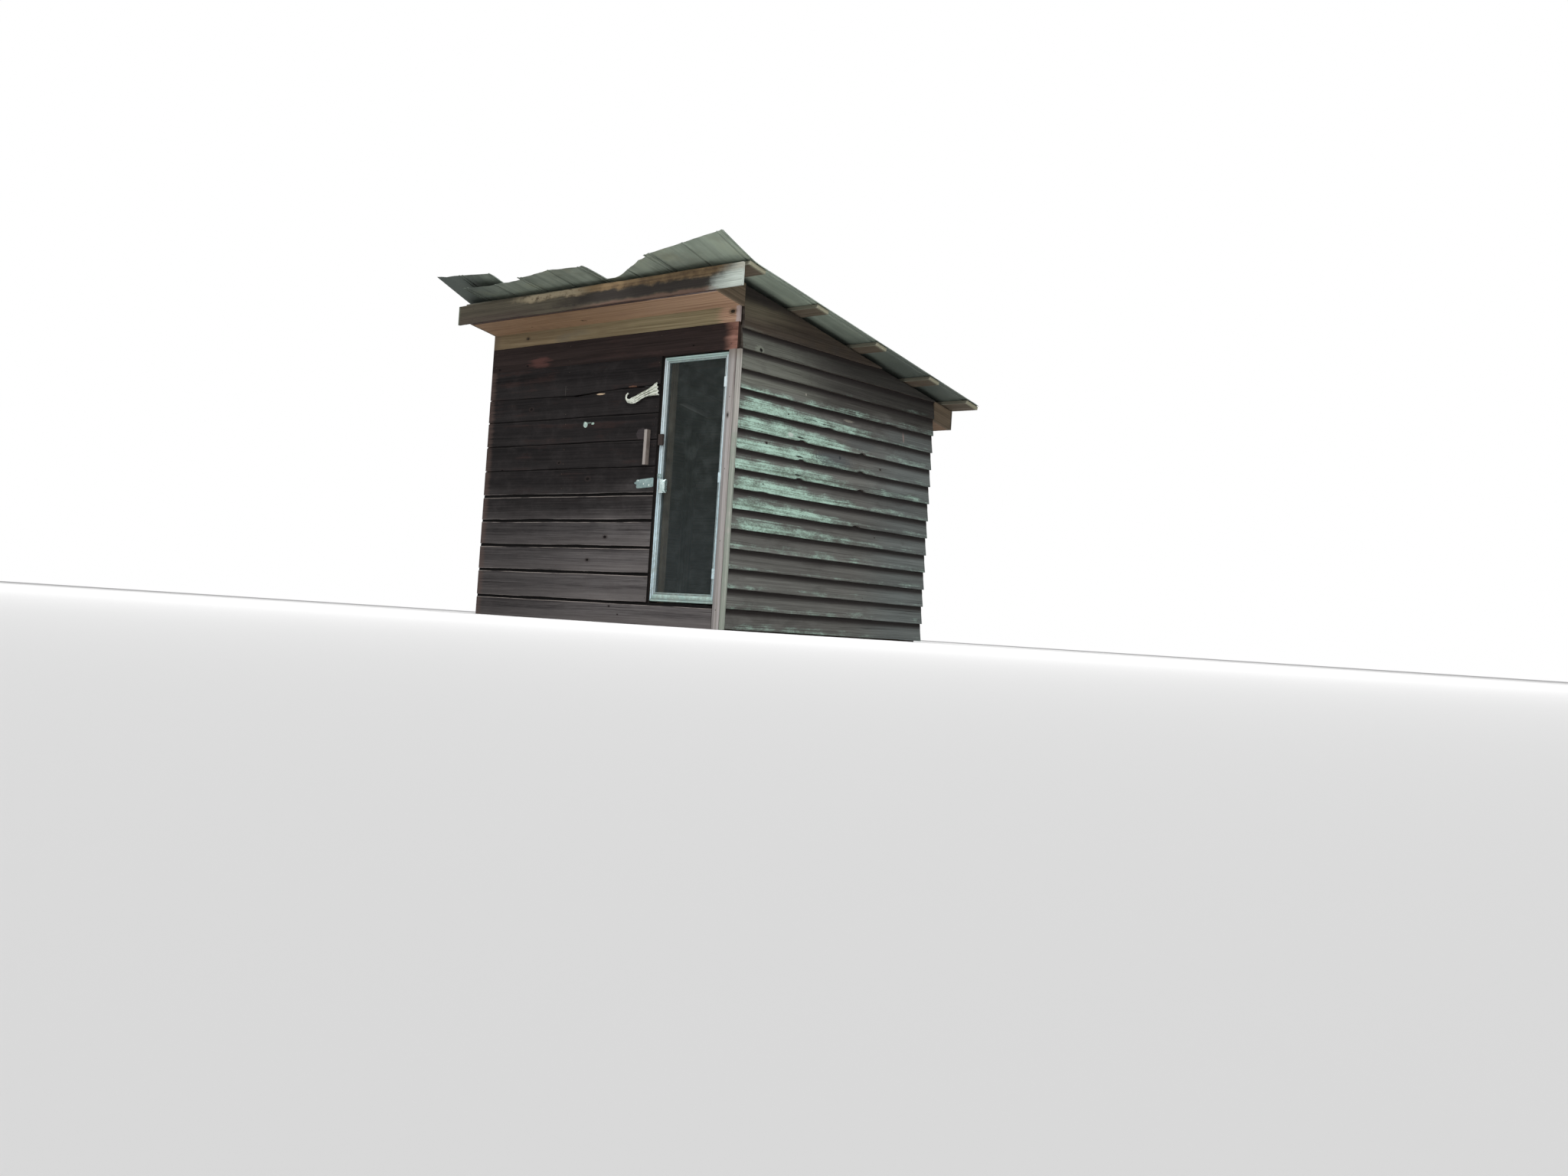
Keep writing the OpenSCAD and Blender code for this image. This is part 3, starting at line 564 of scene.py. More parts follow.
def cove_board(height, groove):
    """Section of a grooved board: a cove out of its top edge, a small arris at its foot."""
    arris, floor = 0.0016, front_t - groove_d
    shoulder = height - groove
    ts = np.array([0.0, 0.008, 0.02, 0.035, 0.06, 0.09, 0.12, 0.145]) / 0.15 * (shoulder - 2 * arris) + arris
    ring = [(0, 0.0005, 0.2), (0.001, 0, 0.0), (height / 2, 0, 0.0), (height - 0.001, 0, 0.0),
            (height - 0.0002, floor * 0.6, 0.4), (height - 0.0004, floor, 2.0),
            (shoulder + groove * 0.45, floor + 0.0003, 2.0), (shoulder + groove * 0.12, floor + 0.0022, 2.0),
            (shoulder, floor + 0.0052, 2.0), (shoulder, front_t - arris, 1.5),
            (shoulder - arris, front_t, 1.5)]
    ring += [(t, front_t, 1.0) for t in ts[::-1]] + [(0, front_t - arris, 1.0), (0, front_t * 0.6, 0.5)]
    ring = np.array(ring)
    return lambda s: ring


def bent_seam(x):
    """How far the first seam strays from level: it sags, then its board lifts off towards the door."""
    return float(np.interp(x - front_x0, [0, 0.5, 0.9, 1.15, 1.4, 1.75],
                           [-0.010, -0.018, -0.026, -0.010, 0.001, 0.006]))


def under_bent_seam(s):
    """The top edge of the board below that seam, which is broken off in two places."""
    return min(bent_seam(front_x0 + s), 0) - 0.005 * (0.92 < s < 1.2) - 0.003 * (1.4 < s < 1.75)


def stained_front(name, marks_on):
    """Old black stain above, brown-grey silvered wood below, painted shade in the grooves, and a painted
    highlight on the shoulder under each groove.
    """
    material, shader, place = blank(name)
    m = marks(shader)
    x, _, z = place.parts()
    cloud = place.stretched((0.8, 1, 1.8)).noise(3.6, 4, 0.62)
    wood = (m["fibres"] * 0.34 + m["rings"] * 0.12 + m["streaks"] * 0.3 + m["bands"] * 0.24).rise(0.34, 0.68)
    black = wood.paint((0.0062, 0.0058, 0.0060), (0.0205, 0.0178, 0.0180))
    grey = wood.paint((0.026, 0.023, 0.024), (0.150, 0.140, 0.138))
    low_down = ((z + (cloud - 0.5) * 0.5 + (m["lot"] - 0.5) * 0.08).rise(0.97, 0.38)
                * ((x + (cloud - 0.5) * 0.6).rise(-1.0, 0.2) * 0.55 + 0.45))
    colour = low_down.paint(black, grey)
    haze = place.stretched((1, 1, 1.3)).noise(7.5, 4, 0.66)
    colour = (haze.rise(0.46, 0.74) * (0.14 + low_down * 0.35)).paint(colour, (0.066, 0.058, 0.058))
    colour = (m["up"].rise(0.55, 0.06) * (low_down * 0.42 + 0.04)).paint(colour, (0.130, 0.118, 0.114))
    red = (cloud * 0.6 + m["bands"] * 0.5).rise(0.58, 0.72) * z.rise(0.7, 1.2) * 0.4
    colour = red.paint(colour, (0.042, 0.023, 0.020))
    corner = (x.rise(-1.15, -1.25) * 0.5 + (m["streaks"] - 0.5) * 0.6).rise(0.15, 0.6)
    colour = (corner * 0.7).paint(colour, (0.085, 0.058, 0.050))
    colour = marks_on(colour, m, place, cloud)
    colour = knotted(colour, m, 0.5, (0.034, 0.025, 0.023), (0.006, 0.005, 0.005))
    split = m["grain"].stretched((0.9, 110, 110)).noise(1, 2, 0.5).rise(0.71, 0.76)
    colour = (split * 0.8).paint(colour, (0.006, 0.005, 0.005))
    foot = (m["up"].rise(0.028, 0.010) * m["face"].rise(0.7, 0.9) * z.rise(1.0, 0.8)
            * m["streaks"].rise(0.36, 0.56))
    colour = (foot * 0.6).paint(colour, (0.20, 0.18, 0.17))
    # Painted highlight along the shoulder under each groove, broken up by a noise, strongest low down.
    worn = m["grain"].stretched((3, 30, 30)).noise(1, 3, 0.7)
    shoulder_highlight = m["face"].rise(1.15, 1.4) * m["face"].rise(1.8, 1.6) * worn.rise(0.34, 0.56)
    colour = (shoulder_highlight * (0.05 + z.rise(1.0, 0.8) * 0.80)).paint(colour, (0.27, 0.24, 0.22))
    # Painted shade: the grooves go near black, less so high up.
    groove = m["face"].rise(1.6, 1.9) * (0.3 + z.rise(1.0, 0.86) * 0.7)
    colour = groove.paint(colour, (0.0045, 0.004, 0.004))
    inner = m["face"].rise(0.45, 0.05)
    colour = inner.paint(colour, wood.paint((0.022, 0.016, 0.013), (0.070, 0.050, 0.038)))
    colour = m["end"].rise(0.0035, 0.0012).paint(colour, (0.010, 0.0085, 0.0080))
    relief = m["rings"] * 0.2 + m["fibres"] * 0.45 + m["streaks"] * 0.4 - split * 1.1 - m["core"] * 0.7
    dress(shader, {"Base Color": colour, "Roughness": 0.92 - wood * 0.12, "Specular IOR Level": 0.07,
                   "Normal": relief.bump(0.0012)})
    return material


def front_marks(colour, m, place, cloud):
    """A pale green-white scrap and a few flecks and scars on the dark boards."""
    x, _, z = place.parts()
    bits = place.noise(60, 3, 0.6)

    def patch(cx, cz, rx, rz, ragged):
        return spot(x, z, (cx, cz), (rx, rz), (bits - 0.5) * 2 * ragged, (1.1, 0.8))
    scrap = bits.rise(0.4, 0.6).paint((0.27, 0.36, 0.33), (0.50, 0.62, 0.56))
    colour = patch(-0.214, 1.331, 0.021, 0.021, 0.45).paint(colour, scrap)
    colour = patch(-0.140, 1.336, 0.015, 0.008, 0.6).paint(colour, (0.32, 0.42, 0.37))
    colour = (patch(-0.175, 1.342, 0.030, 0.004, 0.7) * 0.6).paint(colour, (0.20, 0.27, 0.24))
    colour = (patch(0.345, 1.245, 0.055, 0.040, 0.4) * 0.4).paint(colour, (0.070, 0.058, 0.062))
    colour = patch(-0.083, 1.533, 0.045, 0.006, 0.6).paint(colour, (0.42, 0.32, 0.22))
    colour = (patch(0.228, 1.566, 0.036, 0.007, 0.9) * 0.7).paint(colour, (0.150, 0.078, 0.052))
    return (patch(-0.443, 1.575, 0.003, 0.040, 0.5) * 0.5).paint(colour, (0.085, 0.078, 0.072))


def level_board(node, seed, past=0.0, depth=None, columns=7, **cut):
    """A square-edged board that fills a node along the front, and may run on past its right end."""
    low, high = corners(node)
    high.x += past
    section = square_board(high.z - low.z, depth or high.y - low.y, columns=columns)
    return plank((low.x, high.y, low.z), X, Z, -Y, high.x - low.x, section, seed, **cut)


# Knots of each board from the top, as (place, height, radius)
front_knots = {1: [(0.471, 0.078, 0.010)], 3: [(0.804, 0.041, 0.008), (0.192, 0.0, 0.008)],
               4: [(1.11, 0.099, 0.011)], 6: [(1.32, 0.056, 0.010)], 7: [(1.159, 0.075, 0.009)]}
boards = []
for k, (top_z, foot_z) in enumerate(zip(front_lines, front_lines[1:])):
    shape = cove_board(top_z - foot_z, narrow_groove if foot_z > narrow_above else wide_groove)
    edges = {}
    if k == 0:
        shape = square_board(top_z - foot_z, front_t, columns=9)
        edges = {"low_edge": lambda s: bent_seam(front_x0 + s)}
    elif k == 1:
        edges = {"high_edge": under_bent_seam}
    boards.append(plank((front_x0, front_y, foot_z), X, Z, -Y, front_x1 - front_x0, shape, 300 + k,
                        knots=front_knots.get(k, []), sway=0.0022, knot_rate=0.2, **edges))
dark_front = stained_front("front_board_stain", front_marks)
pile("grooved_front_boards", boards, dark_front, "building", ["front_siding"])
low, high = corners("base_board")
pile("grooved_base_board",
     [plank((low.x, high.y, low.z), X, Z, -Y, high.x - low.x, cove_board(high.z - low.z, wide_groove), 320,
            sway=0.002)],
     dark_front, "building", ["base_board"])


def header_marks(colour, m, place, cloud):
    """Copper-orange wood at the end over the hinge side, a reddish patch, and painted shade on the sawn end.
    """
    x, _, z = place.parts()
    wavy = m["grain"].stretched((3.5, 26, 26)).noise(1, 3, 0.55)
    copper = wavy.rise(0.35, 0.65).paint((0.130, 0.063, 0.048), (0.300, 0.160, 0.125))
    colour = (x + (wavy - 0.5) * 0.07).rise(1.015, 1.115).paint(colour, copper)
    red = spot(x, z, (-0.731, 1.798), (0.09, 0.035), (wavy - 0.5) * 4, (1.3, 0.2))
    colour = (red * 0.75).paint(colour, (0.100, 0.046, 0.040))
    # Painted shade on the last two millimetres and the sawn end.
    return x.rise(1.1405, 1.1425).paint(colour, (0.035, 0.022, 0.017))


past_post = 0.008
pile("header_over_door",
     [level_board("header_board", 330, past_post, front_t, 9, sway=0.0015, knot_rate=0.5)],
     sheltered_board("header_wood", (0.013, 0.0095, 0.0090), (0.036, 0.025, 0.023), (0.048, 0.028, 0.026),
                     0.35, header_marks, 3.0, 0.07),
     "building", ["header_board"])

# Corner board beside the door, and the narrow strip that covers the ends of the lapped boards: two
# upright boards nailed to the corner post, weathered in pink and grey stripes down their grain.
low, high = corners("corner_board")
strip_x0, strip_x1 = high.x + 0.0035, wall_x1 + lap_d


def streaked(m, dark, pale):
    return m["streaks"].rise(0.35, 0.65).paint(dark, pale)


def corner_marks(colour, m, place, cloud):
    x, _, z = place.parts()
    stripes = m["grain"].stretched((0.45, 70, 70)).noise(1, 2, 0.5)
    colour = stripes.rise(0.40, 0.60).paint(colour, (0.320, 0.302, 0.294))
    colour = (stripes.rise(0.44, 0.34) * 0.7).paint(colour, (0.165, 0.140, 0.128))
    left = (x + (stripes - 0.5) * 0.02).rise(1.104, 1.088)
    colour = (left * 0.75).paint(colour, streaked(m, (0.125, 0.115, 0.112), (0.230, 0.222, 0.218)))
    line = (x - 1.133).maths("ABSOLUTE").rise(0.009, 0.002) * z.rise(1.3, 1.6)
    colour = (line * 0.6).paint(colour, (0.115, 0.090, 0.080))
    strip = x.rise(strip_x0 - 0.003, strip_x0 - 0.001)
    weathered = m["streaks"].rise(0.33, 0.67).paint((0.185, 0.178, 0.162), (0.385, 0.372, 0.345))
    colour = strip.paint(colour, weathered)
    green = strip * (cloud * 0.6 + z.rise(1.45, 1.05) * 0.3).rise(0.42, 0.62)
    colour = (green * 0.6).paint(colour, (0.205, 0.250, 0.205))
    # Painted shade at the top of the boards, under the header.
    return (z.rise(1.66, 1.75) * 0.6).paint(colour, (0.150, 0.125, 0.100))


pile("striped_corner_boards",
     [plank((high.x, high.y, low.z), Z, -X, -Y, high.z - low.z, square_board(high.x - low.x, front_t), 340,
            sway=0.0012, knot_rate=0.2),
      plank((strip_x1, high.y, low.z), Z, -X, -Y, high.z - low.z - 0.002,
            square_board(strip_x1 - strip_x0, front_t - 0.001, 0.0022), 344, sway=0.0016, knot_rate=0.1)],
     sheltered_board("corner_board_wood", (0.170, 0.152, 0.142), (0.310, 0.290, 0.275),
                     (0.22, 0.200, 0.188), 0.5, corner_marks, 5.0, 0.12),
     "building", ["corner_board"])

# Frieze and boxed eaves: an ochre board under an orange-brown soffit board, a dark inner fascia, and
# over it the long outer fascia with its bleached right end. The back eave has a soffit and one fascia.


def eave_pile(name, planks, wood, node):
    pile(name, planks, wood, "building", [node])


def frieze_marks(colour, m, place, cloud):
    x = place.parts()[0]
    ochre = (x + (cloud - 0.5) * 1.2).rise(-0.8, 0.6) * 0.75
    colour = ochre.paint(colour, streaked(m, (0.185, 0.155, 0.088), (0.330, 0.280, 0.165)))
    copper = m["rings"].rise(0.35, 0.65).paint((0.28, 0.160, 0.105), (0.52, 0.350, 0.235))
    colour = (x + (m["streaks"] - 0.5) * 0.25).rise(0.93, 1.03).paint(colour, copper)
    colour = (x + (cloud - 0.5) * 0.05).rise(1.105, 1.122).paint(colour, (0.44, 0.36, 0.34))
    return (x.rise(-1.17, -1.25) * 0.6).paint(colour, (0.12, 0.085, 0.06))


eave_pile("ochre_frieze",
          [level_board("frieze_board", 400, past_post, front_t, 8, sway=0.001,
                       knots=[(0.381, 0.054, 0.009), (2.352, 0.067, 0.012)], knot_rate=0.6)],
          sheltered_board("frieze_wood", (0.105, 0.075, 0.040), (0.225, 0.170, 0.098), (0.10, 0.082, 0.062),
                          0.75, frieze_marks, 1.0), "frieze_board")


def sloped_soffit(name, node, material, seed):
    low, high = corners(node)
    span = high.y - low.y
    depth = high.z - low.z - span * slope
    ring = square_board(span, depth, columns=8)(0).copy()
    ring[:, 2] = np.where(ring[:, 1] < depth / 2, 1.0, 0.0)
    board = plank((low.x, low.y, high.z - depth), X, Vector((0, 1, -slope)), Z, high.x - low.x,
                  lambda s: ring, seed, sway=0.0006, knot_rate=0.6)
    eave_pile(name, [board], material, node)


def soffit_marks(colour, m, place, cloud):
    x = place.parts()[0]
    curl = m["grain"].stretched((1.6, 14, 14)).noise(1, 3, 0.6)
    colour = (curl.rise(0.56, 0.70) * 0.6).paint(colour, (0.145, 0.078, 0.045))
    pale = (x + (curl - 0.5) * 0.8).rise(-0.5, 1.1) * 0.75
    return pale.paint(colour, streaked(m, (0.280, 0.172, 0.110), (0.450, 0.295, 0.192)))


sloped_soffit("front_soffit_board", "front_soffit",
              sheltered_board("front_soffit_wood", (0.155, 0.090, 0.048), (0.285, 0.178, 0.102),
                              (0.165, 0.105, 0.064), 0.6, soffit_marks, 2.0), 410)
sloped_soffit("back_soffit_board", "back_soffit",
              sheltered_board("back_soffit_wood", (0.13, 0.080, 0.048), (0.25, 0.160, 0.098),
                              (0.10, 0.075, 0.055), 0.7, None, 8.0), 412)


def inner_fascia_marks(colour, m, place, cloud):
    x = place.parts()[0]
    streak = m["grain"].stretched((2.5, 60, 60)).noise(1, 3, 0.6).rise(0.45, 0.62) * x.rise(0.50, 0.62)
    return (streak * 0.8).paint(colour, (0.34, 0.29, 0.29))


eave_pile("inner_fascia", [level_board("front_sub_fascia", 420, sway=0.0008)],
          sheltered_board("inner_fascia_wood", (0.030, 0.019, 0.017), (0.085, 0.055, 0.047),
                          (0.05, 0.035, 0.033), 0.6, inner_fascia_marks, 4.0), "front_sub_fascia")


def fascia_marks(colour, m, place, cloud):
    """Colour from left to right: olive, then an orange top band over a black smear, then bleached."""
    x = place.parts()[0]
    up = m["up"]
    blotch = place.stretched((1, 1, 1.4)).noise(11, 4, 0.65)
    drift = (cloud - 0.5) * 1.1 + (blotch - 0.5) * 0.7 + (m["streaks"] - 0.5) * 0.25
    orange = (m["streaks"] * 0.5 + blotch * 0.5).rise(0.36, 0.64)
    orange = orange.paint((0.080, 0.050, 0.026), (0.215, 0.145, 0.074))
    colour = (up.rise(0.55, 0.10) * x.rise(-0.3, -0.8) * 0.5).paint(colour, (0.050, 0.033, 0.028))
    band = (up + drift * 0.5).rise(0.56, 0.78)
    colour = (band * (x + drift * 0.4).rise(-0.85, -0.40) * 0.9).paint(colour, orange)
    gold = band * (x + drift * 0.3).rise(-0.85, -0.55) * (x + drift * 0.3).rise(0.10, -0.20)
    colour = (gold * blotch.rise(0.33, 0.49) * 0.9).paint(colour, (0.315, 0.268, 0.180))
    low_band = (up + drift * 0.3).rise(0.20, 0.06)
    colour = (low_band * (x + drift * 0.3).rise(-0.2, 0.2) * 0.75).paint(colour, (0.135, 0.080, 0.060))
    smear = ((up + drift * 0.5).rise(0.76, 0.56) * (up + drift * 0.3).rise(0.06, 0.26)
             * (x + drift * 0.6).rise(-0.60, 0.10))
    colour = (smear * 0.92).paint(colour, (0.019, 0.0150, 0.0135))
    bleached = m["fibres"].rise(0.35, 0.65).paint((0.275, 0.305, 0.276), (0.490, 0.545, 0.500))
    edge = (x - up * 0.13 + drift * 0.16).rise(1.03, 1.20)
    colour = (edge * (0.58 + up.rise(0.90, 0.55) * 0.4)).paint(colour, bleached)
    return (x.rise(-1.355, -1.375) * 0.7).paint(colour, (0.165, 0.205, 0.150))


def high_end_lifts(s):
    """How much the outer fascia's top edge gains towards its right end."""
    return float(np.interp(s, [0, 1.4, 2.75], [0, 0.003, 0.010]))


eave_pile("outer_fascia",
          [level_board("front_fascia", 430, sway=0.0018, knot_rate=0, high_edge=high_end_lifts)],
          sheltered_board("outer_fascia_wood", (0.040, 0.034, 0.024), (0.115, 0.100, 0.070),
                          (0.055, 0.042, 0.036), 0.7, fascia_marks, 6.0), "front_fascia")
low, high = corners("back_fascia")
eave_pile("back_eave_fascia",
          [plank((high.x, low.y, low.z), -X, Z, Y, high.x - low.x,
                 square_board(high.z - low.z, high.y - low.y), 440, sway=0.0015)],
          sheltered_board("back_fascia_wood", (0.045, 0.038, 0.028), (0.13, 0.108, 0.078),
                          (0.07, 0.06, 0.048), 0.7, None, 9.0), "back_fascia")

# Purlins: thin boards laid flat across the rafters to carry the sheets. Their sawn ends stand out past
# the walls, brown with pale tips and edges.
soffit_z, rafter_h = 2.020, 0.127
purlin_t, seat_gap = 0.025, 0.0001
# Where each purlin starts and how wide it is
purlin_rows = [(-1.155, 0.150), (-0.495, 0.115), (0.145, 0.115), (0.785, 0.115), (1.265, 0.150)]
rafter_top_0 = soffit_z + (board_t + rafter_h) / math.cos(pitch)
down_roof = Vector((0, math.cos(pitch), -math.sin(pitch)))
off_roof = Vector((0, math.sin(pitch), math.cos(pitch)))


def rafter_top(y):
    return rafter_top_0 - (y - wall_y0) * slope


def purlin_marks(colour, m, place, cloud):
    x = place.parts()[0]
    tip = (x.maths("ABSOLUTE") + (m["streaks"] - 0.5) * 0.012).rise(1.355, 1.372)
    colour = (tip * 0.6).paint(colour, (0.30, 0.30, 0.215))
    edge = m["up"].rise(0.035, 0.012) + m["up"].rise(0.97, 0.99)
    return (edge * 0.75).paint(colour, (0.255, 0.250, 0.195))


low, high = corners("purlins")
planks = []
for k, (y, purlin_w) in enumerate(purlin_rows):
    ring = square_board(purlin_w, purlin_t)(0).copy()
    ring[:, 2] = 1.0
    planks.append(plank((low.x, y, rafter_top(y) + seat_gap), X, down_roof, off_roof, high.x - low.x,
                        lambda s, ring=ring: ring, 500 + k, sway=0.0008, knot_rate=1.0))
eave_pile("purlin_boards", planks,
          sheltered_board("purlin_wood", (0.056, 0.043, 0.029), (0.145, 0.118, 0.085), (0.10, 0.060, 0.042),
                          0.6, purlin_marks, 11.0), "purlins")

# Roof: five sheets of thin galvanised steel rolled with V crimps, lapped at the double crimps and nailed
# through the ridges. Their front ends are ragged, and the two outer ones are bent up.
roof_x0, roof_x1, roof_y1 = -1.385, 1.385, 1.420
fascia_y = -1.195
sheet_t, sheet_cover, lap_lift = 0.0007, 0.616, 0.0016
crimp_pair, crimp_w, crimp_h, crest_h = 0.036, 0.022, 0.012, 0.0118
edge_lap = crimp_pair / 2 + crimp_w / 2 + 0.002
sheet_lines = [roof_x1 - edge_lap - k * sheet_cover for k in (5, 4, 3, 2, 1)]
# How far each sheet reaches out from the wall at five places across it, how far its front corners are
# bent up, where the bend starts, and how it curves
reach = [[0.455, 0.454, 0.453, 0.452, 0.450], [0.405, 0.400, 0.395, 0.390, 0.415],
         [0.430, 0.440, 0.450, 0.455, 0.445], [0.235, 0.238, 0.310, 0.392, 0.445],
         [0.445, 0.450, 0.450, 0.455, 0.455]]
lift_left, lift_right = [0.090, 0, 0, 0, 0], [0.050, 0, 0, 0, 0.068]
bend_from, bend_power = [-1.03, fascia_y, fascia_y, fascia_y, -1.09], [1.05, 2, 2, 2, 1.10]
crimp_profile = ((-0.011, 0), (-0.0095, 0.0006), (-0.0045, 0.0070), (-0.002, 0.0102), (0, crest_h),
                 (0.002, 0.0102), (0.0045, 0.0070), (0.0095, 0.0006), (0.011, 0))


def flat_to(xs, stop):
    """Adds even steps across a flat of the sheet, short of its stop."""
    gap = stop - xs[-1][0]
    steps = max(1, round(gap / 0.045))
    for _ in range(1, steps):
        xs.append((xs[-1][0] + gap / steps, 0.0))


def sheet_path(k):
    """Points across sheet k, as (x, height): flats with a small ridge at each crimp."""
    line, half = sheet_lines[k], sheet_cover / 2
    following = line + sheet_cover
    edge = edge_lap - crimp_pair / 2
    ridges = [following - crimp_pair / 2, following + crimp_pair / 2]
    if k == 0:
        start, stop = roof_x0, following + half + edge
        ridges += [following + half]
    else:
        start, stop = line - edge_lap, following + edge_lap
        ridges = [line - crimp_pair / 2, line + crimp_pair / 2, line + half] + ridges
    xs = [(start, 0.0)]
    for ridge in ridges:
        flat_to(xs, ridge - crimp_w / 2)
        xs += [(ridge + dx, h) for dx, h in crimp_profile]
    flat_to(xs, stop)
    xs.append((stop, 0.0))
    return np.array(xs)


def roof_metal():
    """Dull zinc: a streaked underside with painted shade towards the back, the left, over the room and on
    the crimp flanks, painted highlights on the crests, a greyer top, and specks of rust.
    """
    material, shader, place = blank("weathered_galvanised_sheet")
    top, from_front, crest = kept(shader, "sheet").parts()
    x, y, _ = place.parts()
    streak = place.stretched((15, 0.9, 0.9)).noise(1, 4, 0.62)
    cloud = place.noise(3.4, 4, 0.6)
    fine = place.noise(70, 4, 0.7)
    under = (streak * 0.55 + cloud * 0.45).rise(0.37, 0.63)
    under = under.paint((0.165, 0.192, 0.155), (0.325, 0.375, 0.305))
    olive = (cloud * 0.7 + streak * 0.3).rise(0.48, 0.66)
    under = (olive * 0.55).paint(under, (0.245, 0.250, 0.160))
    brown = (place.noise(2.1, 4, 0.65) * 0.7 + streak * 0.3).rise(0.52, 0.64)
    under = (brown * 0.45).paint(under, (0.100, 0.090, 0.062))
    # Painted shade over the left of the underside, deepest at the far left.
    under = (x.rise(0.2, -0.7) * 0.30).paint(under, (0.060, 0.076, 0.064))
    under = (x.rise(0.75, 1.10) * 0.32).paint(under, (0.360, 0.430, 0.350))
    # Painted shade on the underside towards the back.
    far_back_shade = y.rise(-0.7, 0.7) * 0.80
    under = far_back_shade.paint(under, (0.045, 0.055, 0.051))
    shaded_left = (x + (cloud - 0.5) * 0.5).rise(-0.72, -1.15) * 0.85
    under = shaded_left.paint(under, (0.048, 0.062, 0.055))
    # Painted shade where the underside is seen over the room.
    room = x.rise(1.20, 1.13) * y.rise(-1.02, -0.94)
    under = (room * 0.85).paint(under, (0.045, 0.052, 0.044))
    # Painted highlight along the crests of the crimps, left out over the room.
    crest_highlight = crest.rise(0.25, 0.9) * (1 - room)
    under = (crest_highlight * 0.75).paint(under, (0.42, 0.49, 0.42))
    # Painted shade along the flanks of each crimp.
    under = ((crest * (1 - crest) * 4).rise(0.3, 0.9) * 0.35).paint(under, (0.055, 0.064, 0.050))
    upper = (streak * 0.5 + cloud * 0.5).rise(0.36, 0.66).paint((0.15, 0.17, 0.155), (0.37, 0.41, 0.385))
    upper = ((fine * 0.5 + cloud * 0.5).rise(0.56, 0.68) * 0.7).paint(upper, (0.13, 0.15, 0.10))
    colour = top.paint(under, upper)
    rust = (fine * 0.45 + streak * 0.35 + from_front.rise(0.06, 0.0) * 0.12).rise(0.55, 0.66)
    rust_tone = fine.rise(0.4, 0.6).paint((0.07, 0.032, 0.018), (0.20, 0.095, 0.045))
    colour = (rust * 0.4).paint(colour, rust_tone)
    dress(shader, {"Base Color": colour, "Metallic": 0.25 - rust * 0.2,
                   "Roughness": 0.55 + fine * 0.25 + rust * 0.15, "Specular IOR Level": 0.4,
                   "Normal": (fine * 0.3 + cloud * 0.7 + rust * 0.3).bump(0.0016)})
    return material


def crimped_sheet(k):
    """Sheet k as (points on its underside, each point's crest and distance from the front edge)."""
    draw = np.random.default_rng(600 + k)
    across_x, ridge_h = sheet_path(k).T
    u = (across_x - across_x[0]) / (across_x[-1] - across_x[0])
    # The front end is cut ragged, with three notches
    ragged = 0.002 + 0.0015 * np.abs(np.sin(u * 31 + draw.uniform(0, 6))) + draw.uniform(0, 0.0012, len(u))
    for _ in range(3):
        depth = draw.uniform(0.002, 0.007)
        ragged += depth * np.exp(-((u - draw.uniform(0.05, 0.95)) / draw.uniform(0.03, 0.08)) ** 2)
    front = wall_y0 - np.interp(u, np.linspace(0, 1, 5), reach[k]) + ragged
    back = roof_y1 - 0.001 - draw.uniform(0, 0.003, len(u))
    ys = np.array([back + (fascia_y - back) * v for v in np.linspace(0, 1, 62)]
                  + [fascia_y + (front - fascia_y) * v for v in np.linspace(0, 1, 14)[1:]])
    # The bent corners rise along a curve, the flats sag a little, and the overhang is wavy
    bent = np.clip((bend_from[k] - ys) / (bend_from[k] - front[None]), 0, 1)
    lifts = (lift_left[k] + (lift_right[k] - lift_left[k]) * u[None]) * bent ** bend_power[k]
    tray = np.sin(u[None] * 47 + draw.uniform(0, 6)) * np.sin(ys * 5.1 + draw.uniform(0, 6)) * 0.0007
    overhang = np.clip((fascia_y - ys) / 0.2, 0, 1)
    wave = overhang ** 2 * (0.004 * np.sin(u[None] * 9 + k * 1.7) + 0.0025 * np.sin(u[None] * 23 + k))
    flat_end = lifts.max() < 0.05
    # The ridges are pressed flatter in the last few centimetres
    pressed = np.clip(0.35 + (ys - front[None]) / 0.07, 0, 1)
    zs = (rafter_top(ys) + purlin_t / math.cos(pitch) + 2 * seat_gap + (lap_lift if k % 2 == 0 else 0.0)
          + ridge_h[None] * pressed + lifts + np.where(ridge_h[None] > 0, 0, np.abs(tray))
          + np.clip(wave, -0.004, 0.006) * flat_end)
    xs = np.repeat(across_x[None], len(ys), axis=0)
    crest = np.repeat((ridge_h / crimp_h)[None], len(ys), axis=0)
    return np.stack([xs, ys, zs], -1), crest.ravel(), (ys - front[None]).ravel()


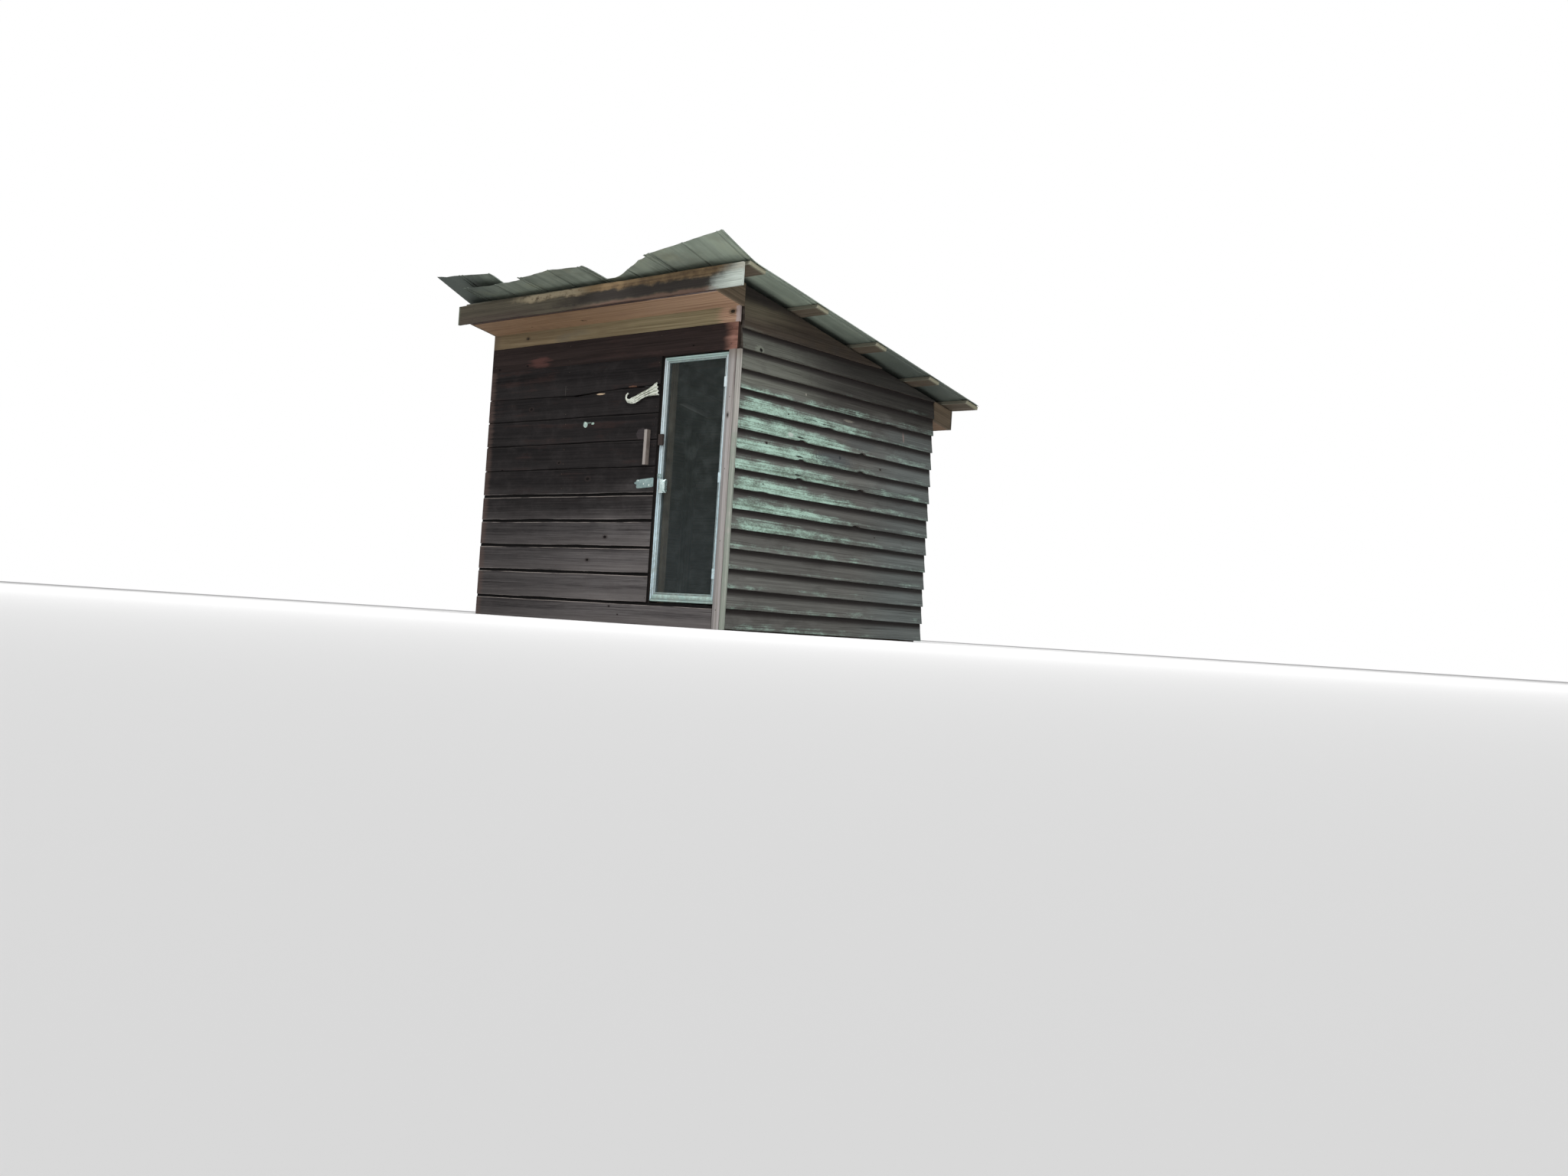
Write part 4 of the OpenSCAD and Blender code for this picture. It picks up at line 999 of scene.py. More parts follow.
def sheet_mesh(name, under, crest, from_front):
    """Both faces of a sheet and its rim. Each point keeps whether it is on top, how far it is from the
    front edge, and how high on a ridge."""
    n, m = under.shape[:2]
    lower = under.reshape(-1, 3)
    upper = lower + np.array([0, 0, sheet_t])
    i, j = np.meshgrid(np.arange(n - 1), np.arange(m - 1), indexing="ij")
    a = (i * m + j).ravel()
    b, c, d = a + 1, a + m, a + m + 1
    s = n * m
    rim = np.concatenate([np.arange(m), np.arange(1, n) * m + m - 1, (n - 1) * m + np.arange(m - 2, -1, -1),
                          np.arange(n - 2, 0, -1) * m])
    after = np.roll(rim, -1)
    faces = np.concatenate([np.stack([a, b, d, c], -1), np.stack([s + a, s + c, s + d, s + b], -1),
                            np.stack([rim, s + rim, s + after, after], -1)])
    mesh = bpy.data.meshes.new(name)
    mesh.from_pydata(np.concatenate([lower, upper]).tolist(), [], faces.tolist())
    values = np.concatenate([np.stack([0 * crest + top, from_front, crest], -1) for top in (0, 1)])
    mesh.attributes.new("sheet", "FLOAT_VECTOR", "POINT").data.foreach_set(
        "vector", values.astype(np.float32).ravel())
    return mesh


sheet_steel = roof_metal()
for k in range(len(sheet_lines)):
    name = f"crimped_sheet_{k + 1}"
    set_up(name, sheet_mesh(name, *crimped_sheet(k)), sheet_steel, "building",
           [f"roof_sheet_{k + 1}"], 35)

# Screen door: stiles and rails of extruded aluminium with two rounded ridges and a flute, mitred and
# screwed at the corners. A vinyl bead holds the woven mesh in the inner edge.
low, high = corners("latch_stile")
door_x0, door_z0, door_z1, door_y = low.x, low.z, high.z, low.y
stile_w, door_t = high.x - low.x, high.y - low.y
door_x1 = corners("hinge_stile")[1].x
door_h, door_w = door_z1 - door_z0, door_x1 - door_x0
top_h, bottom_h = 0.038, 0.060
low, high = corners("door_mesh")
mesh_mid = (low.y + high.y) / 2 - door_y


def door_section(w):
    """Section of a door member: u in from the door's edge, v back from its face."""
    def ridge(a, b, proud, n=7):
        return [(a + (b - a) * q / n, 0.0036 - proud * math.sin(math.pi * q / n)) for q in range(n + 1)]
    ring = [(0.0, door_t - 0.001), (0.0, 0.0036)] + ridge(0.0004, 0.0110, 0.0036)[1:]
    ring += [(0.0115, 0.0042), (0.0165, 0.0042)] + ridge(0.0170, w - 0.0135, 0.0034)
    ring += [(w - 0.0125, 0.0052), (w - 0.0035, 0.0052), (w - 0.0012, 0.0062), (w, 0.0080),
             (w, mesh_mid - 0.0012), (w - 0.0055, mesh_mid - 0.0012), (w - 0.0055, mesh_mid + 0.0012),
             (w, mesh_mid + 0.0012), (w, door_t - 0.001), (w - 0.001, door_t), (0.001, door_t)]
    return ring


def door_member(name, origin, u_dir, s_dir, w, length, a, b, material, node):
    """A mitred member. a and b are the widths of its neighbours at its two ends."""
    ring = door_section(w)
    m = len(ring)
    stations = np.linspace(0, 1, 9)
    points = []
    for q in stations:
        for u, v in ring:
            s0, s1 = u / w * a, length - u / w * b
            points.append(Vector(origin) + u_dir * u + Y * v + s_dir * (s0 + (s1 - s0) * q))
    faces = [[i * m + j, i * m + (j + 1) % m, (i + 1) * m + (j + 1) % m, (i + 1) * m + j]
             for i in range(len(stations) - 1) for j in range(m)]
    faces += [list(range(m - 1, -1, -1)), list(range((len(stations) - 1) * m, len(stations) * m))]
    if u_dir.cross(Y).dot(s_dir) < 0:
        faces = [f[::-1] for f in faces]
    mesh = bpy.data.meshes.new(name)
    mesh.from_pydata([tuple(p) for p in points], [], faces)
    set_up(name, mesh, material, "door", [node], 28)


def mill_aluminium(name, axis, dark, pale):
    material, shader, place = blank(name)
    stretch = [330.0] * 3
    stretch["xyz".index(axis)] = 6.0
    drawn = place.stretched(stretch).noise(1, 3, 0.6)
    haze = place.noise(14, 4, 0.65)
    grime = place.noise(38, 4, 0.7)
    _, y, z = place.parts()
    colour = (haze * 0.6 + drawn * 0.4).rise(0.36, 0.64).paint(dark, pale)
    colour = (z.rise(0.8, 1.5) * 0.35).paint(colour, [min(0.85, 1.45 * c) for c in pale])
    # Painted shade in the flute and everything set back behind the ridges.
    colour = ((y - door_y).rise(0.0020, 0.0042) * 0.6).paint(colour, (0.115, 0.145, 0.150))
    dirt = (grime * 0.6 + haze * 0.5 + z.rise(0.7, 0.2) * 0.1).rise(0.60, 0.72)
    colour = (dirt * 0.55).paint(colour, (0.17, 0.20, 0.17))
    dress(shader, {"Base Color": colour, "Metallic": 0.25 - dirt * 0.2, "Roughness": 0.42 + haze * 0.25,
                   "Specular IOR Level": 0.5, "Normal": (drawn * 0.5 + grime * 0.5).bump(0.0005)})
    return material


upright_metal = mill_aluminium("aluminium_upright", "z", (0.360, 0.460, 0.490), (0.570, 0.730, 0.790))
level_metal = mill_aluminium("aluminium_level", "x", (0.235, 0.335, 0.310), (0.380, 0.510, 0.475))
door_member("ridged_latch_stile", (door_x0, door_y, door_z0), X, Z, stile_w, door_h, bottom_h, top_h,
            upright_metal, "latch_stile")
door_member("ridged_hinge_stile", (door_x1, door_y, door_z0), -X, Z, stile_w, door_h, bottom_h, top_h,
            upright_metal, "hinge_stile")
door_member("ridged_top_rail", (door_x0, door_y, door_z1), -Z, X, top_h, door_w, stile_w, stile_w,
            level_metal, "top_rail")
door_member("ridged_bottom_rail", (door_x0, door_y, door_z0), Z, X, bottom_h, door_w, stile_w, stile_w,
            level_metal, "bottom_rail")

# Insect mesh: dark coated wire woven at sixteen to the inch, stretched flat in the frame and held by a
# grey vinyl bead. Its wires are set out by a node tree from the size of the opening.


def tree_maker(name, inputs):
    """A geometry tree with named inputs, and a way to add nodes to it."""
    tree = bpy.data.node_groups.new(name, "GeometryNodeTree")
    tree.interface.new_socket("Geometry", in_out="OUTPUT", socket_type="NodeSocketGeometry")
    tree.interface.new_socket("Geometry", in_out="INPUT", socket_type="NodeSocketGeometry")
    ids = {}
    for key, kind in inputs.items():
        ids[key] = tree.interface.new_socket(key, in_out="INPUT", socket_type="NodeSocket" + kind).identifier
    given = tree.nodes.new("NodeGroupInput")

    def add(kind, settings=None, inputs=None, out=0):
        node = tree.nodes.new(kind)
        for key, value in (settings or {}).items():
            setattr(node, key, value)
        for key, value in (inputs or {}).items():
            if isinstance(value, bpy.types.NodeSocket):
                tree.links.new(value, node.inputs[key])
            elif isinstance(value, list):
                for one in value:
                    tree.links.new(one, node.inputs[key])
            else:
                node.inputs[key].default_value = value
        return node.outputs[out] if len(node.outputs) else node
    return tree, ids, given, add


def grown(name, mesh, tree, ids, values, material, body, replaced=()):
    """Runs a tree on a mesh and keeps the result as a plain mesh."""
    seed = bpy.data.objects.new(name + "_seed", mesh)
    bpy.context.scene.collection.objects.link(seed)
    mod = seed.modifiers.new("grow", "NODES")
    mod.node_group = tree
    for key, value in values.items():
        mod[ids[key]] = value
    seed.update_tag()
    bpy.context.view_layer.update()
    depsgraph = bpy.context.evaluated_depsgraph_get()
    made = bpy.data.meshes.new_from_object(seed.evaluated_get(depsgraph))
    bpy.data.objects.remove(seed)
    made.name = name
    made.materials.clear()
    set_up(name, made, material, body, replaced, 40)


def woven_tree():
    """Two sets of straight wires that cross, one upright and one level."""
    tree, ids, given, add = tree_maker("woven_mesh", {
        "Width": "Float", "Height": "Float", "Pitch": "Float", "Wire": "Float", "Place": "Vector",
        "Paint": "Material"})
    w, h, pitch_in, wire = (given.outputs[k] for k in ("Width", "Height", "Pitch", "Wire"))
    bars = []
    for length, spread, lead in ((h, w, 0), (w, h, 1)):
        count = add("ShaderNodeMath", {"operation": "FLOOR"},
                    {0: add("ShaderNodeMath", {"operation": "DIVIDE"}, {0: spread, 1: pitch_in})})
        step = add("ShaderNodeCombineXYZ", None, {("X", "Z")[lead]: pitch_in})
        row = add("GeometryNodeMeshLine", {"mode": "OFFSET"}, {"Count": count, "Offset": step})
        size = add("ShaderNodeCombineXYZ", None,
                   {"X": wire if lead == 0 else length, "Y": wire, "Z": length if lead == 0 else wire})
        bar = add("GeometryNodeMeshCube", None, {"Size": size})
        half = add("ShaderNodeVectorMath", {"operation": "SCALE"}, {0: size, "Scale": 0.5})
        bar = add("GeometryNodeTransform", None, {"Geometry": bar, "Translation": half})
        bars.append(add("GeometryNodeInstanceOnPoints", None, {"Points": row, "Instance": bar}))
    joined = add("GeometryNodeJoinGeometry", None, {"Geometry": bars})
    real = add("GeometryNodeRealizeInstances", None, {"Geometry": joined})
    placed = add("GeometryNodeTransform", None, {"Geometry": real, "Translation": given.outputs["Place"]})
    painted = add("GeometryNodeSetMaterial", None, {"Geometry": placed, "Material": given.outputs["Paint"]})
    add("NodeGroupOutput", None, {0: painted})
    return tree, ids


def coated_wire():
    material, shader, place = blank("coated_wire")
    z = place.parts()[2]
    dust = place.noise(11, 4, 0.7)
    colour = dust.rise(0.40, 0.70).paint((0.040, 0.050, 0.047), (0.085, 0.100, 0.096))
    colour = (z.rise(1.0, 0.5) * 0.25).paint(colour, (0.085, 0.105, 0.115))
    dress(shader, {"Base Color": colour, "Roughness": 0.6 + dust * 0.25, "Metallic": 0.1,
                   "Specular IOR Level": 0.3, "Normal": dust.bump(0.0001)})
    return material


low, high = corners("door_mesh")
wire_paint = coated_wire()
wire_d, wire_pitch, edge = 0.00028, 0.0016, 0.0002
tree, ids = woven_tree()
grown("woven_insect_mesh", bpy.data.meshes.new("mesh_seed"), tree, ids,
      {"Width": high.x - low.x - edge, "Height": high.z - low.z - edge, "Pitch": wire_pitch, "Wire": wire_d,
       "Place": (low.x + edge, (low.y + high.y) / 2 - wire_d / 2, low.z + edge), "Paint": wire_paint},
      wire_paint, "door", ["door_mesh"])


def vinyl():
    material, shader, place = blank("grey_vinyl_bead")
    grime = place.noise(55, 3, 0.6)
    dress(shader, {"Base Color": grime.rise(0.4, 0.65).paint((0.10, 0.12, 0.115), (0.25, 0.28, 0.27)),
                   "Roughness": 0.55 + grime * 0.2, "Normal": grime.bump(0.0003)})
    return material


def bead_round(x_a, x_b, z_a, z_b, y, radius):
    """A bead of round section that runs round the opening with mitred corners."""
    mesh = bpy.data.meshes.new("mesh_bead")
    sides = 10
    corner_ways = [(x_a, z_a, 1, 1), (x_b, z_a, -1, 1), (x_b, z_b, -1, -1), (x_a, z_b, 1, -1)]
    turns = [2 * math.pi * q / sides for q in range(sides)]
    points = [(x + dx * radius * math.cos(turn), y + radius * math.sin(turn),
               z + dz * radius * math.cos(turn)) for x, z, dx, dz in corner_ways for turn in turns]
    faces = [[c * sides + q, c * sides + (q + 1) % sides, (c + 1) % 4 * sides + (q + 1) % sides,
              (c + 1) % 4 * sides + q] for c in range(4) for q in range(sides)]
    mesh.from_pydata(points, [], faces)
    return mesh


def outward(mesh):
    """Turns a closed mesh's faces outwards."""
    work = bmesh.new()
    work.from_mesh(mesh)
    bmesh.ops.recalc_face_normals(work, faces=work.faces)
    work.to_mesh(mesh)
    work.free()
    return mesh


bead_in, bead_y, bead_r = 0.008, door_y + 0.0062, 0.0024
set_up("vinyl_mesh_bead",
       outward(bead_round(door_x0 + stile_w - bead_in, door_x1 - stile_w + bead_in,
                          door_z0 + bottom_h - bead_in, door_z1 - top_h + bead_in, bead_y, bead_r)),
       vinyl(), "door", smooth=60)

# Catch block and door block: short offcuts of board, a dark one screwed to the latch stile, and one on
# the wall beside the door whose front face is paler grey than its sides.


def offcut(name, node, dark, pale, body, seed, marks_on=None):
    low, high = corners(node)
    section = square_board(high.x - low.x, high.y - low.y, 0.0012, 5)
    block = plank((high.x, high.y, low.z), Z, -X, -Y, high.z - low.z, section, seed, sway=0.0006,
                  knot_rate=0, step=0.01)
    wood = sheltered_board(name + "_wood", dark, pale, [0.6 * c for c in dark], 0.6, marks_on, seed * 0.37)
    pile(name, [block], wood, body, [node])


def block_marks(colour, m, place, cloud):
    # The front face is painted paler grey than the sides.
    front = m["face"].rise(0.85, 0.99)
    return (front * 0.85).paint(colour, streaked(m, (0.20, 0.18, 0.165), (0.36, 0.33, 0.31)))


offcut("door_side_block", "door_block", (0.095, 0.078, 0.068), (0.21, 0.18, 0.16), "building",
       700, block_marks)
offcut("stile_catch_block", "catch_block", (0.016, 0.012, 0.011), (0.055, 0.040, 0.034), "door",
       710)

# Fittings: a tapered galvanised hasp plate on the wall and its strap on the door, a bright door pull,
# and butt hinges, steel on the wall and aluminium on the door. Screws and nails are set out as points,
# and a node tree gives each its head.


def worn_metal(name, dark, pale, rust_share, metallic, rough):
    material, shader, place = blank(name)
    haze = place.noise(30, 4, 0.65)
    scratch = place.stretched((60, 60, 900)).noise(1, 2, 0.6)
    rust = (place.noise(90, 5, 0.7) * 0.7 + haze * 0.35).rise(0.56, 0.68)
    colour = (haze * 0.6 + scratch * 0.4).rise(0.36, 0.66).paint(dark, pale)
    colour = (rust * rust_share).paint(colour, (0.12, 0.055, 0.028))
    dress(shader, {"Base Color": colour, "Metallic": metallic - rust * (metallic * rust_share),
                   "Roughness": rough + haze * 0.2 + rust * rust_share * 0.2,
                   "Normal": (scratch * 0.4 + haze * 0.4 + rust * rust_share * 0.5).bump(0.0004)})
    return material


galvanised = worn_metal("galvanised_fitting", (0.13, 0.195, 0.195), (0.27, 0.365, 0.355), 0.35, 0.30, 0.45)
bright = worn_metal("worn_bright_plating", (0.42, 0.56, 0.54), (0.72, 0.84, 0.82), 0.12, 0.85, 0.18)
dull_steel = worn_metal("dull_hinge_steel", (0.13, 0.15, 0.14), (0.30, 0.33, 0.31), 0.6, 0.5, 0.5)
refinish(["hinge_plates"], dull_steel)
refinish(["hinge_leaves"], upright_metal)


def cut_plate(outline, face_y, thick, arris=0.0004):
    """A plate cut to an outline (x, z) with its front at face_y, bevelled all round."""
    work = bmesh.new()
    flat = work.faces.new([work.verts.new((x, face_y, z)) for x, z in outline])
    flat.normal_update()
    if flat.normal.y > 0:
        flat.normal_flip()
    made = bmesh.ops.extrude_face_region(work, geom=[flat])
    for v in made["geom"]:
        if isinstance(v, bmesh.types.BMVert):
            v.co.y += thick
    bmesh.ops.recalc_face_normals(work, faces=work.faces)
    sharp = [e for e in work.edges if len(e.link_faces) == 2 and e.calc_face_angle() > 0.9
             and any(abs(f.normal.y) > 0.9 for f in e.link_faces)]
    bmesh.ops.bevel(work, geom=sharp, offset=arris, segments=2, affect="EDGES", profile=0.5)
    mesh = bpy.data.meshes.new("plate")
    work.to_mesh(mesh)
    work.free()
    return mesh


low, high = corners("hasp_plate")
hasp_outline = [(0.000, 0.036), (0.010, 0.043), (0.017, 0.040), (0.019, 0.053), (0.028, 0.058),
                (0.036, 0.0565), (0.075, 0.060), (0.120, 0.064), (0.172, 0.068), (0.1775, 0.064),
                (0.1775, 0.012), (0.170, 0.0075), (0.128, 0.0045), (0.085, 0.0020), (0.040, 0.0005),
                (0.024, 0.0010), (0.020, 0.012), (0.022, 0.024), (0.012, 0.028), (0.004, 0.030)]
set_up("tapered_hasp_plate",
       cut_plate([(low.x + a, low.z + b) for a, b in hasp_outline], low.y, high.y - low.y - 0.0001),
       galvanised, "building", ["hasp_plate"], 30)
strap_z, strap_y = 0.955, door_y - 0.0025
strap_outline = [(0.001, 0), (0.030, 0.001), (0.041, 0.005), (0.041, 0.023), (0.030, 0.027), (0.001, 0.028)]
set_up("hasp_strap", cut_plate([(door_x0 + a, strap_z + b) for a, b in strap_outline], strap_y, 0.0023),
       galvanised, "door", smooth=30)


def pull_mesh(low, high):
    """Escutcheon with rounded corners, and a hollow half-round grip on two feet."""
    outline = []
    left, right = low.x + corner_r, high.x - corner_r
    foot, top = low.z + corner_r, high.z - corner_r
    for cx, cz, start in ((right, top, 0), (left, top, 90), (left, foot, 180), (right, foot, 270)):
        turns = [math.radians(start + q * 22.5) for q in range(5)]
        outline += [(cx + corner_r * math.cos(turn), cz + corner_r * math.sin(turn)) for turn in turns]
    back_y = high.y - escutcheon_t
    work = bmesh.new()
    work.from_mesh(cut_plate(outline, back_y, escutcheon_t - 0.0002, 0.0008))
    centre, depth = high.x - grip_w / 2, back_y - low.y
    n, levels = 16, 13
    rings = []
    for q in range(levels):
        v = q / (levels - 1)
        lift = min(1.0, math.sin(math.pi * min(max(v, 0.02), 0.98)) * 3.2) ** 0.5
        z = low.z + 0.0015 + (high.z - low.z - 0.003) * v
        ring = []
        for p in range(n + 1):
            angle = math.pi * p / n
            ring.append(work.verts.new((centre + grip_w / 2 * 0.98 * math.cos(angle),
                                        back_y - depth * lift * (0.25 + 0.75 * math.sin(angle)), z)))
        ring += [work.verts.new((centre - grip_w / 2 * 0.98 + 0.98 * grip_w * p / 4, back_y - 0.0001, z))
                 for p in range(5)]
        rings.append(ring)
    for a, b in zip(rings, rings[1:]):
        for p in range(len(a)):
            q = (p + 1) % len(a)
            work.faces.new((a[p], a[q], b[q], b[p]))
    work.faces.new(rings[0][::-1])
    work.faces.new(rings[-1])
    bmesh.ops.recalc_face_normals(work, faces=work.faces)
    mesh = bpy.data.meshes.new("pull")
    work.to_mesh(mesh)
    work.free()
    return mesh


escutcheon_t, corner_r, grip_w = 0.003, 0.008, 0.026
set_up("half_round_door_pull", pull_mesh(*corners("door_latch")), bright, "door",
       ["door_latch"], 40)


def head_tree():
    """Gives each point a low head, turned to the point's own direction."""
    tree, ids, given, add = tree_maker("driven_heads", {
        "Radius": "Float", "Height": "Float", "Flare": "Float", "Paint": "Material"})
    crown = add("ShaderNodeMath", {"operation": "MULTIPLY"},
                {0: given.outputs["Radius"], 1: given.outputs["Flare"]})
    cone = add("GeometryNodeMeshCone", None,
               {"Vertices": 10, "Radius Top": crown, "Radius Bottom": given.outputs["Radius"],
                "Depth": given.outputs["Height"]})
    out = add("GeometryNodeInputNamedAttribute", {"data_type": "FLOAT_VECTOR"}, {"Name": "out"})
    turn = add("FunctionNodeAlignRotationToVector", {"axis": "Z"}, {"Vector": out})
    heads = add("GeometryNodeInstanceOnPoints", None,
                {"Points": given.outputs["Geometry"], "Instance": cone, "Rotation": turn})
    real = add("GeometryNodeRealizeInstances", None, {"Geometry": heads})
    painted = add("GeometryNodeSetMaterial", None, {"Geometry": real, "Material": given.outputs["Paint"]})
    add("NodeGroupOutput", None, {0: painted})
    return tree, ids


heads_tree, heads_ids = head_tree()


def drive(name, spots, radius, height, flare, material, body):
    """Nail or screw heads at spots, each (place, direction out of the surface)."""
    mesh = bpy.data.meshes.new(name + "_points")
    mesh.from_pydata([tuple(p) for p, _ in spots], [], [])
    mesh.attributes.new("out", "FLOAT_VECTOR", "POINT").data.foreach_set(
        "vector", np.array([tuple(d) for _, d in spots], dtype=np.float32).ravel())
    sizes = {"Radius": radius, "Height": height, "Flare": flare, "Paint": material}
    grown(name, mesh, heads_tree, heads_ids, sizes, material, body)


rusty = worn_metal("rusty_nail", (0.018, 0.013, 0.011), (0.060, 0.040, 0.030), 0.5, 0.2, 0.7)
pale_zinc = worn_metal("zinc_screw", (0.42, 0.46, 0.44), (0.72, 0.76, 0.73), 0.25, 0.7, 0.35)
draw = np.random.default_rng(900)
nail_up, sunk = 0.020, 0.0003
nail_out = lap_d - nail_up * lap_lean - 0.0002
# The studs and blocks that the nails go into, and how high the nails and the hinges sit
side_studs, back_studs = (-0.925, -0.254, 0.436, 1.115), (-1.19, -0.42, 0.35, 1.10)
front_studs, frieze_studs = (-1.222, -0.421, 0.468), (-1.22, -0.42, 0.47, 1.09)
fascia_blocks, corner_post = (-1.21, -0.44, 0.35, 1.12), 1.104
frieze_nails, corner_nails, fascia_nails = (1.785, 1.885), (0.12, 0.55, 1.0, 1.45), (2.09, 2.165)
hinge_heights = (0.345, 0.9485, 1.552)


def front_nail(x, z, face_y=front_y - front_t):
    return Vector((x, face_y + sunk, z)), -Y


spots = []
for k in range(lap_rows - 1):
    z = lap_line - k * lap_show + nail_up
    for y in side_studs:
        y += draw.uniform(-0.008, 0.008)
        if z < wall_top - (y - wall_y0) * slope - 0.02:
            spots.append((Vector((wall_x1 + nail_out, y, z)), (X + Z * lap_lean).normalized()))
            if y > left_y0:
                spots.append((Vector((wall_x0 - nail_out, y, z)), (-X + Z * lap_lean).normalized()))
    if z < back_top - 0.01:
        for x in back_studs:
            spots.append((Vector((x + draw.uniform(-0.008, 0.008), back_face + nail_out, z)),
                          (Y + Z * lap_lean).normalized()))
for top_z, foot_z in zip(front_lines, front_lines[1:]):
    for dz in (0.030, top_z - foot_z - 0.042):
        for x in front_studs:
            nail_x, nail_z = x + draw.uniform(-0.006, 0.006), foot_z + dz + draw.uniform(-0.006, 0.006)
            spots.append(front_nail(nail_x, nail_z))
spots += [front_nail(x, z) for z in frieze_nails for x in frieze_studs]
spots += [front_nail(corner_post, z) for z in corner_nails]
spots += [front_nail(x, z, fascia_y - board_t) for x in fascia_blocks for z in fascia_nails]
drive("board_nails", spots, 0.0034, 0.0011, 0.8, rusty, "building")

head_lift = 0.0022
spots = []
for y, purlin_w in purlin_rows:
    y = y + purlin_w / 2
    for line in sheet_lines[1:] + [roof_x1 - edge_lap]:
        for x in (line - crimp_pair / 2, line - sheet_cover / 2):
            if x > roof_x0 + 0.02:
                top = rafter_top(y) + purlin_t / math.cos(pitch) + crest_h + head_lift
                spots.append((Vector((x, y, top)), off_roof))
drive("roof_nails", spots, 0.006, 0.0028, 0.45, pale_zinc, "building")

low, high = corners("hasp_plate")
spots = [front_nail(low.x + a, low.z + b, low.y) for a, b in ((0.036, 0.051), (0.088, 0.029), (0.137, 0.020))]
drive("hasp_screws", spots, 0.0055, 0.0024, 0.5, pale_zinc, "building")
low, high = corners("door_latch")
spots = [(Vector((low.x + across, high.y - escutcheon_t + 0.0002, z)), -Y)
         for across in (0.010, 0.036) for z in (low.z + 0.012, high.z - 0.012)]
spots += [(Vector((door_x0 + 0.020, strap_y, strap_z + 0.014)), -Y)]
leaf_x, leaf_y = corners("hinge_leaves")[0].x + 0.014, door_y - 0.002
spots += [(Vector((leaf_x, leaf_y + 0.0002, z + dz)), -Y)
          for z in hinge_heights for dz in (-0.022, 0, 0.022)]
drive("door_screws", spots, 0.0035, 0.0014, 0.6, pale_zinc, "door")

# Rag: a strip of white cotton sheeting, twisted and caught between two boards beside the door, with a
# curl at its loose end and a fan of folds where it is caught.
low, high = corners("rag")
rag_length, rag_width, rag_side_gap, cloth_t = 0.40, 0.15, 0.002, 0.0006


def rag_mesh():
    """A strip swept along a bent line, with its width gathered in pleats that twist less and less."""
    length_n, width_n, pleats = 150, 84, 3.4
    off_wall, deepest_fold = 0.0125, 0.0115
    spine = np.array([(0.006, 0.004), (-0.010, -0.010), (-0.013, -0.030), (0.002, -0.047), (0.030, -0.052),
                      (0.064, -0.046), (0.100, -0.034), (0.146, -0.016), (0.193, -0.005), (0.234, 0.005),
                      (0.262, 0.013), (0.288, 0.018)])
    half = np.array([0.009, 0.013, 0.016, 0.019, 0.022, 0.024, 0.024, 0.023, 0.024, 0.031, 0.039, 0.045])
    deep = np.array([0.006, 0.008, 0.009, 0.010, 0.011, 0.011, 0.011, 0.011, 0.010, 0.009, 0.008, 0.007])
    q = np.linspace(0, 1, len(spine))
    v = np.linspace(0, 1, length_n)

    def smooth(values):
        fine = np.interp(v, q, values)
        kernel = np.ones(9) / 9
        padded = np.concatenate([np.full(4, fine[0]), fine, np.full(4, fine[-1])])
        return np.convolve(padded, kernel, "valid")
    cx, cz, hw, dp = smooth(spine[:, 0]), smooth(spine[:, 1]), smooth(half), smooth(deep)
    tangent = np.stack([np.gradient(cx), np.gradient(cz)], -1)
    tangent /= np.linalg.norm(tangent, axis=1, keepdims=True)
    side = np.stack([-tangent[:, 1], tangent[:, 0]], -1)
    w = np.linspace(0, 1, width_n)
    twist = np.interp(v, [0, 0.25, 0.75, 1], [1.9, 1.3, 0.35, 0.0]) * math.pi
    points = []
    for i in range(length_n):
        phase = twist[i] + 0.8 * math.sin(v[i] * 7) + 0.35 * math.sin(v[i] * 19 + 1)
        a = (w - 0.5) * 2
        off = hw[i] * (a + 0.22 * (1 - v[i] ** 3) * np.sin(2 * math.pi * pleats * w + phase * 1.5))
        lift = dp[i] * 0.75 * np.sin(2 * math.pi * pleats * w + phase) + 0.0010 * np.sin(v[i] * 60 + w * 14)
        roll_c, roll_s = math.cos(phase * 0.25), math.sin(phase * 0.25)
        aside = off * roll_c + lift * roll_s * 0.7
        outward_by = np.clip(lift * roll_c - off * roll_s * 0.35, -deepest_fold, deepest_fold)
        for j in range(width_n):
            points.append((cx[i] + side[i, 0] * aside[j], outward_by[j] - off_wall,
                           cz[i] + side[i, 1] * aside[j]))
    points = np.array(points)
    faces = [[i * width_n + j, i * width_n + j + 1, (i + 1) * width_n + j + 1, (i + 1) * width_n + j]
             for i in range(length_n - 1) for j in range(width_n - 1)]
    return points, faces, v, w


points, faces, v, w = rag_mesh()
span_x = points[:, 0].max() - points[:, 0].min()
points[:, 0] = (low.x + rag_side_gap
                + (points[:, 0] - points[:, 0].min()) / span_x * (high.x - low.x - 2 * rag_side_gap))
points[:, 2] += (low.z + high.z) / 2 - (points[:, 2].max() + points[:, 2].min()) / 2
points[:, 1] += high.y
mesh = bpy.data.meshes.new("twisted_rag")
mesh.from_pydata(points.tolist(), [], faces)
uv = mesh.uv_layers.new(name="cloth")
vv, ww = np.repeat(v, len(w)), np.tile(w, len(v))
loops = np.array([l.vertex_index for l in mesh.loops])
flat_places = np.stack([vv[loops] * rag_length, ww[loops] * rag_width], -1)
uv.data.foreach_set("uv", flat_places.astype(np.float32).ravel())


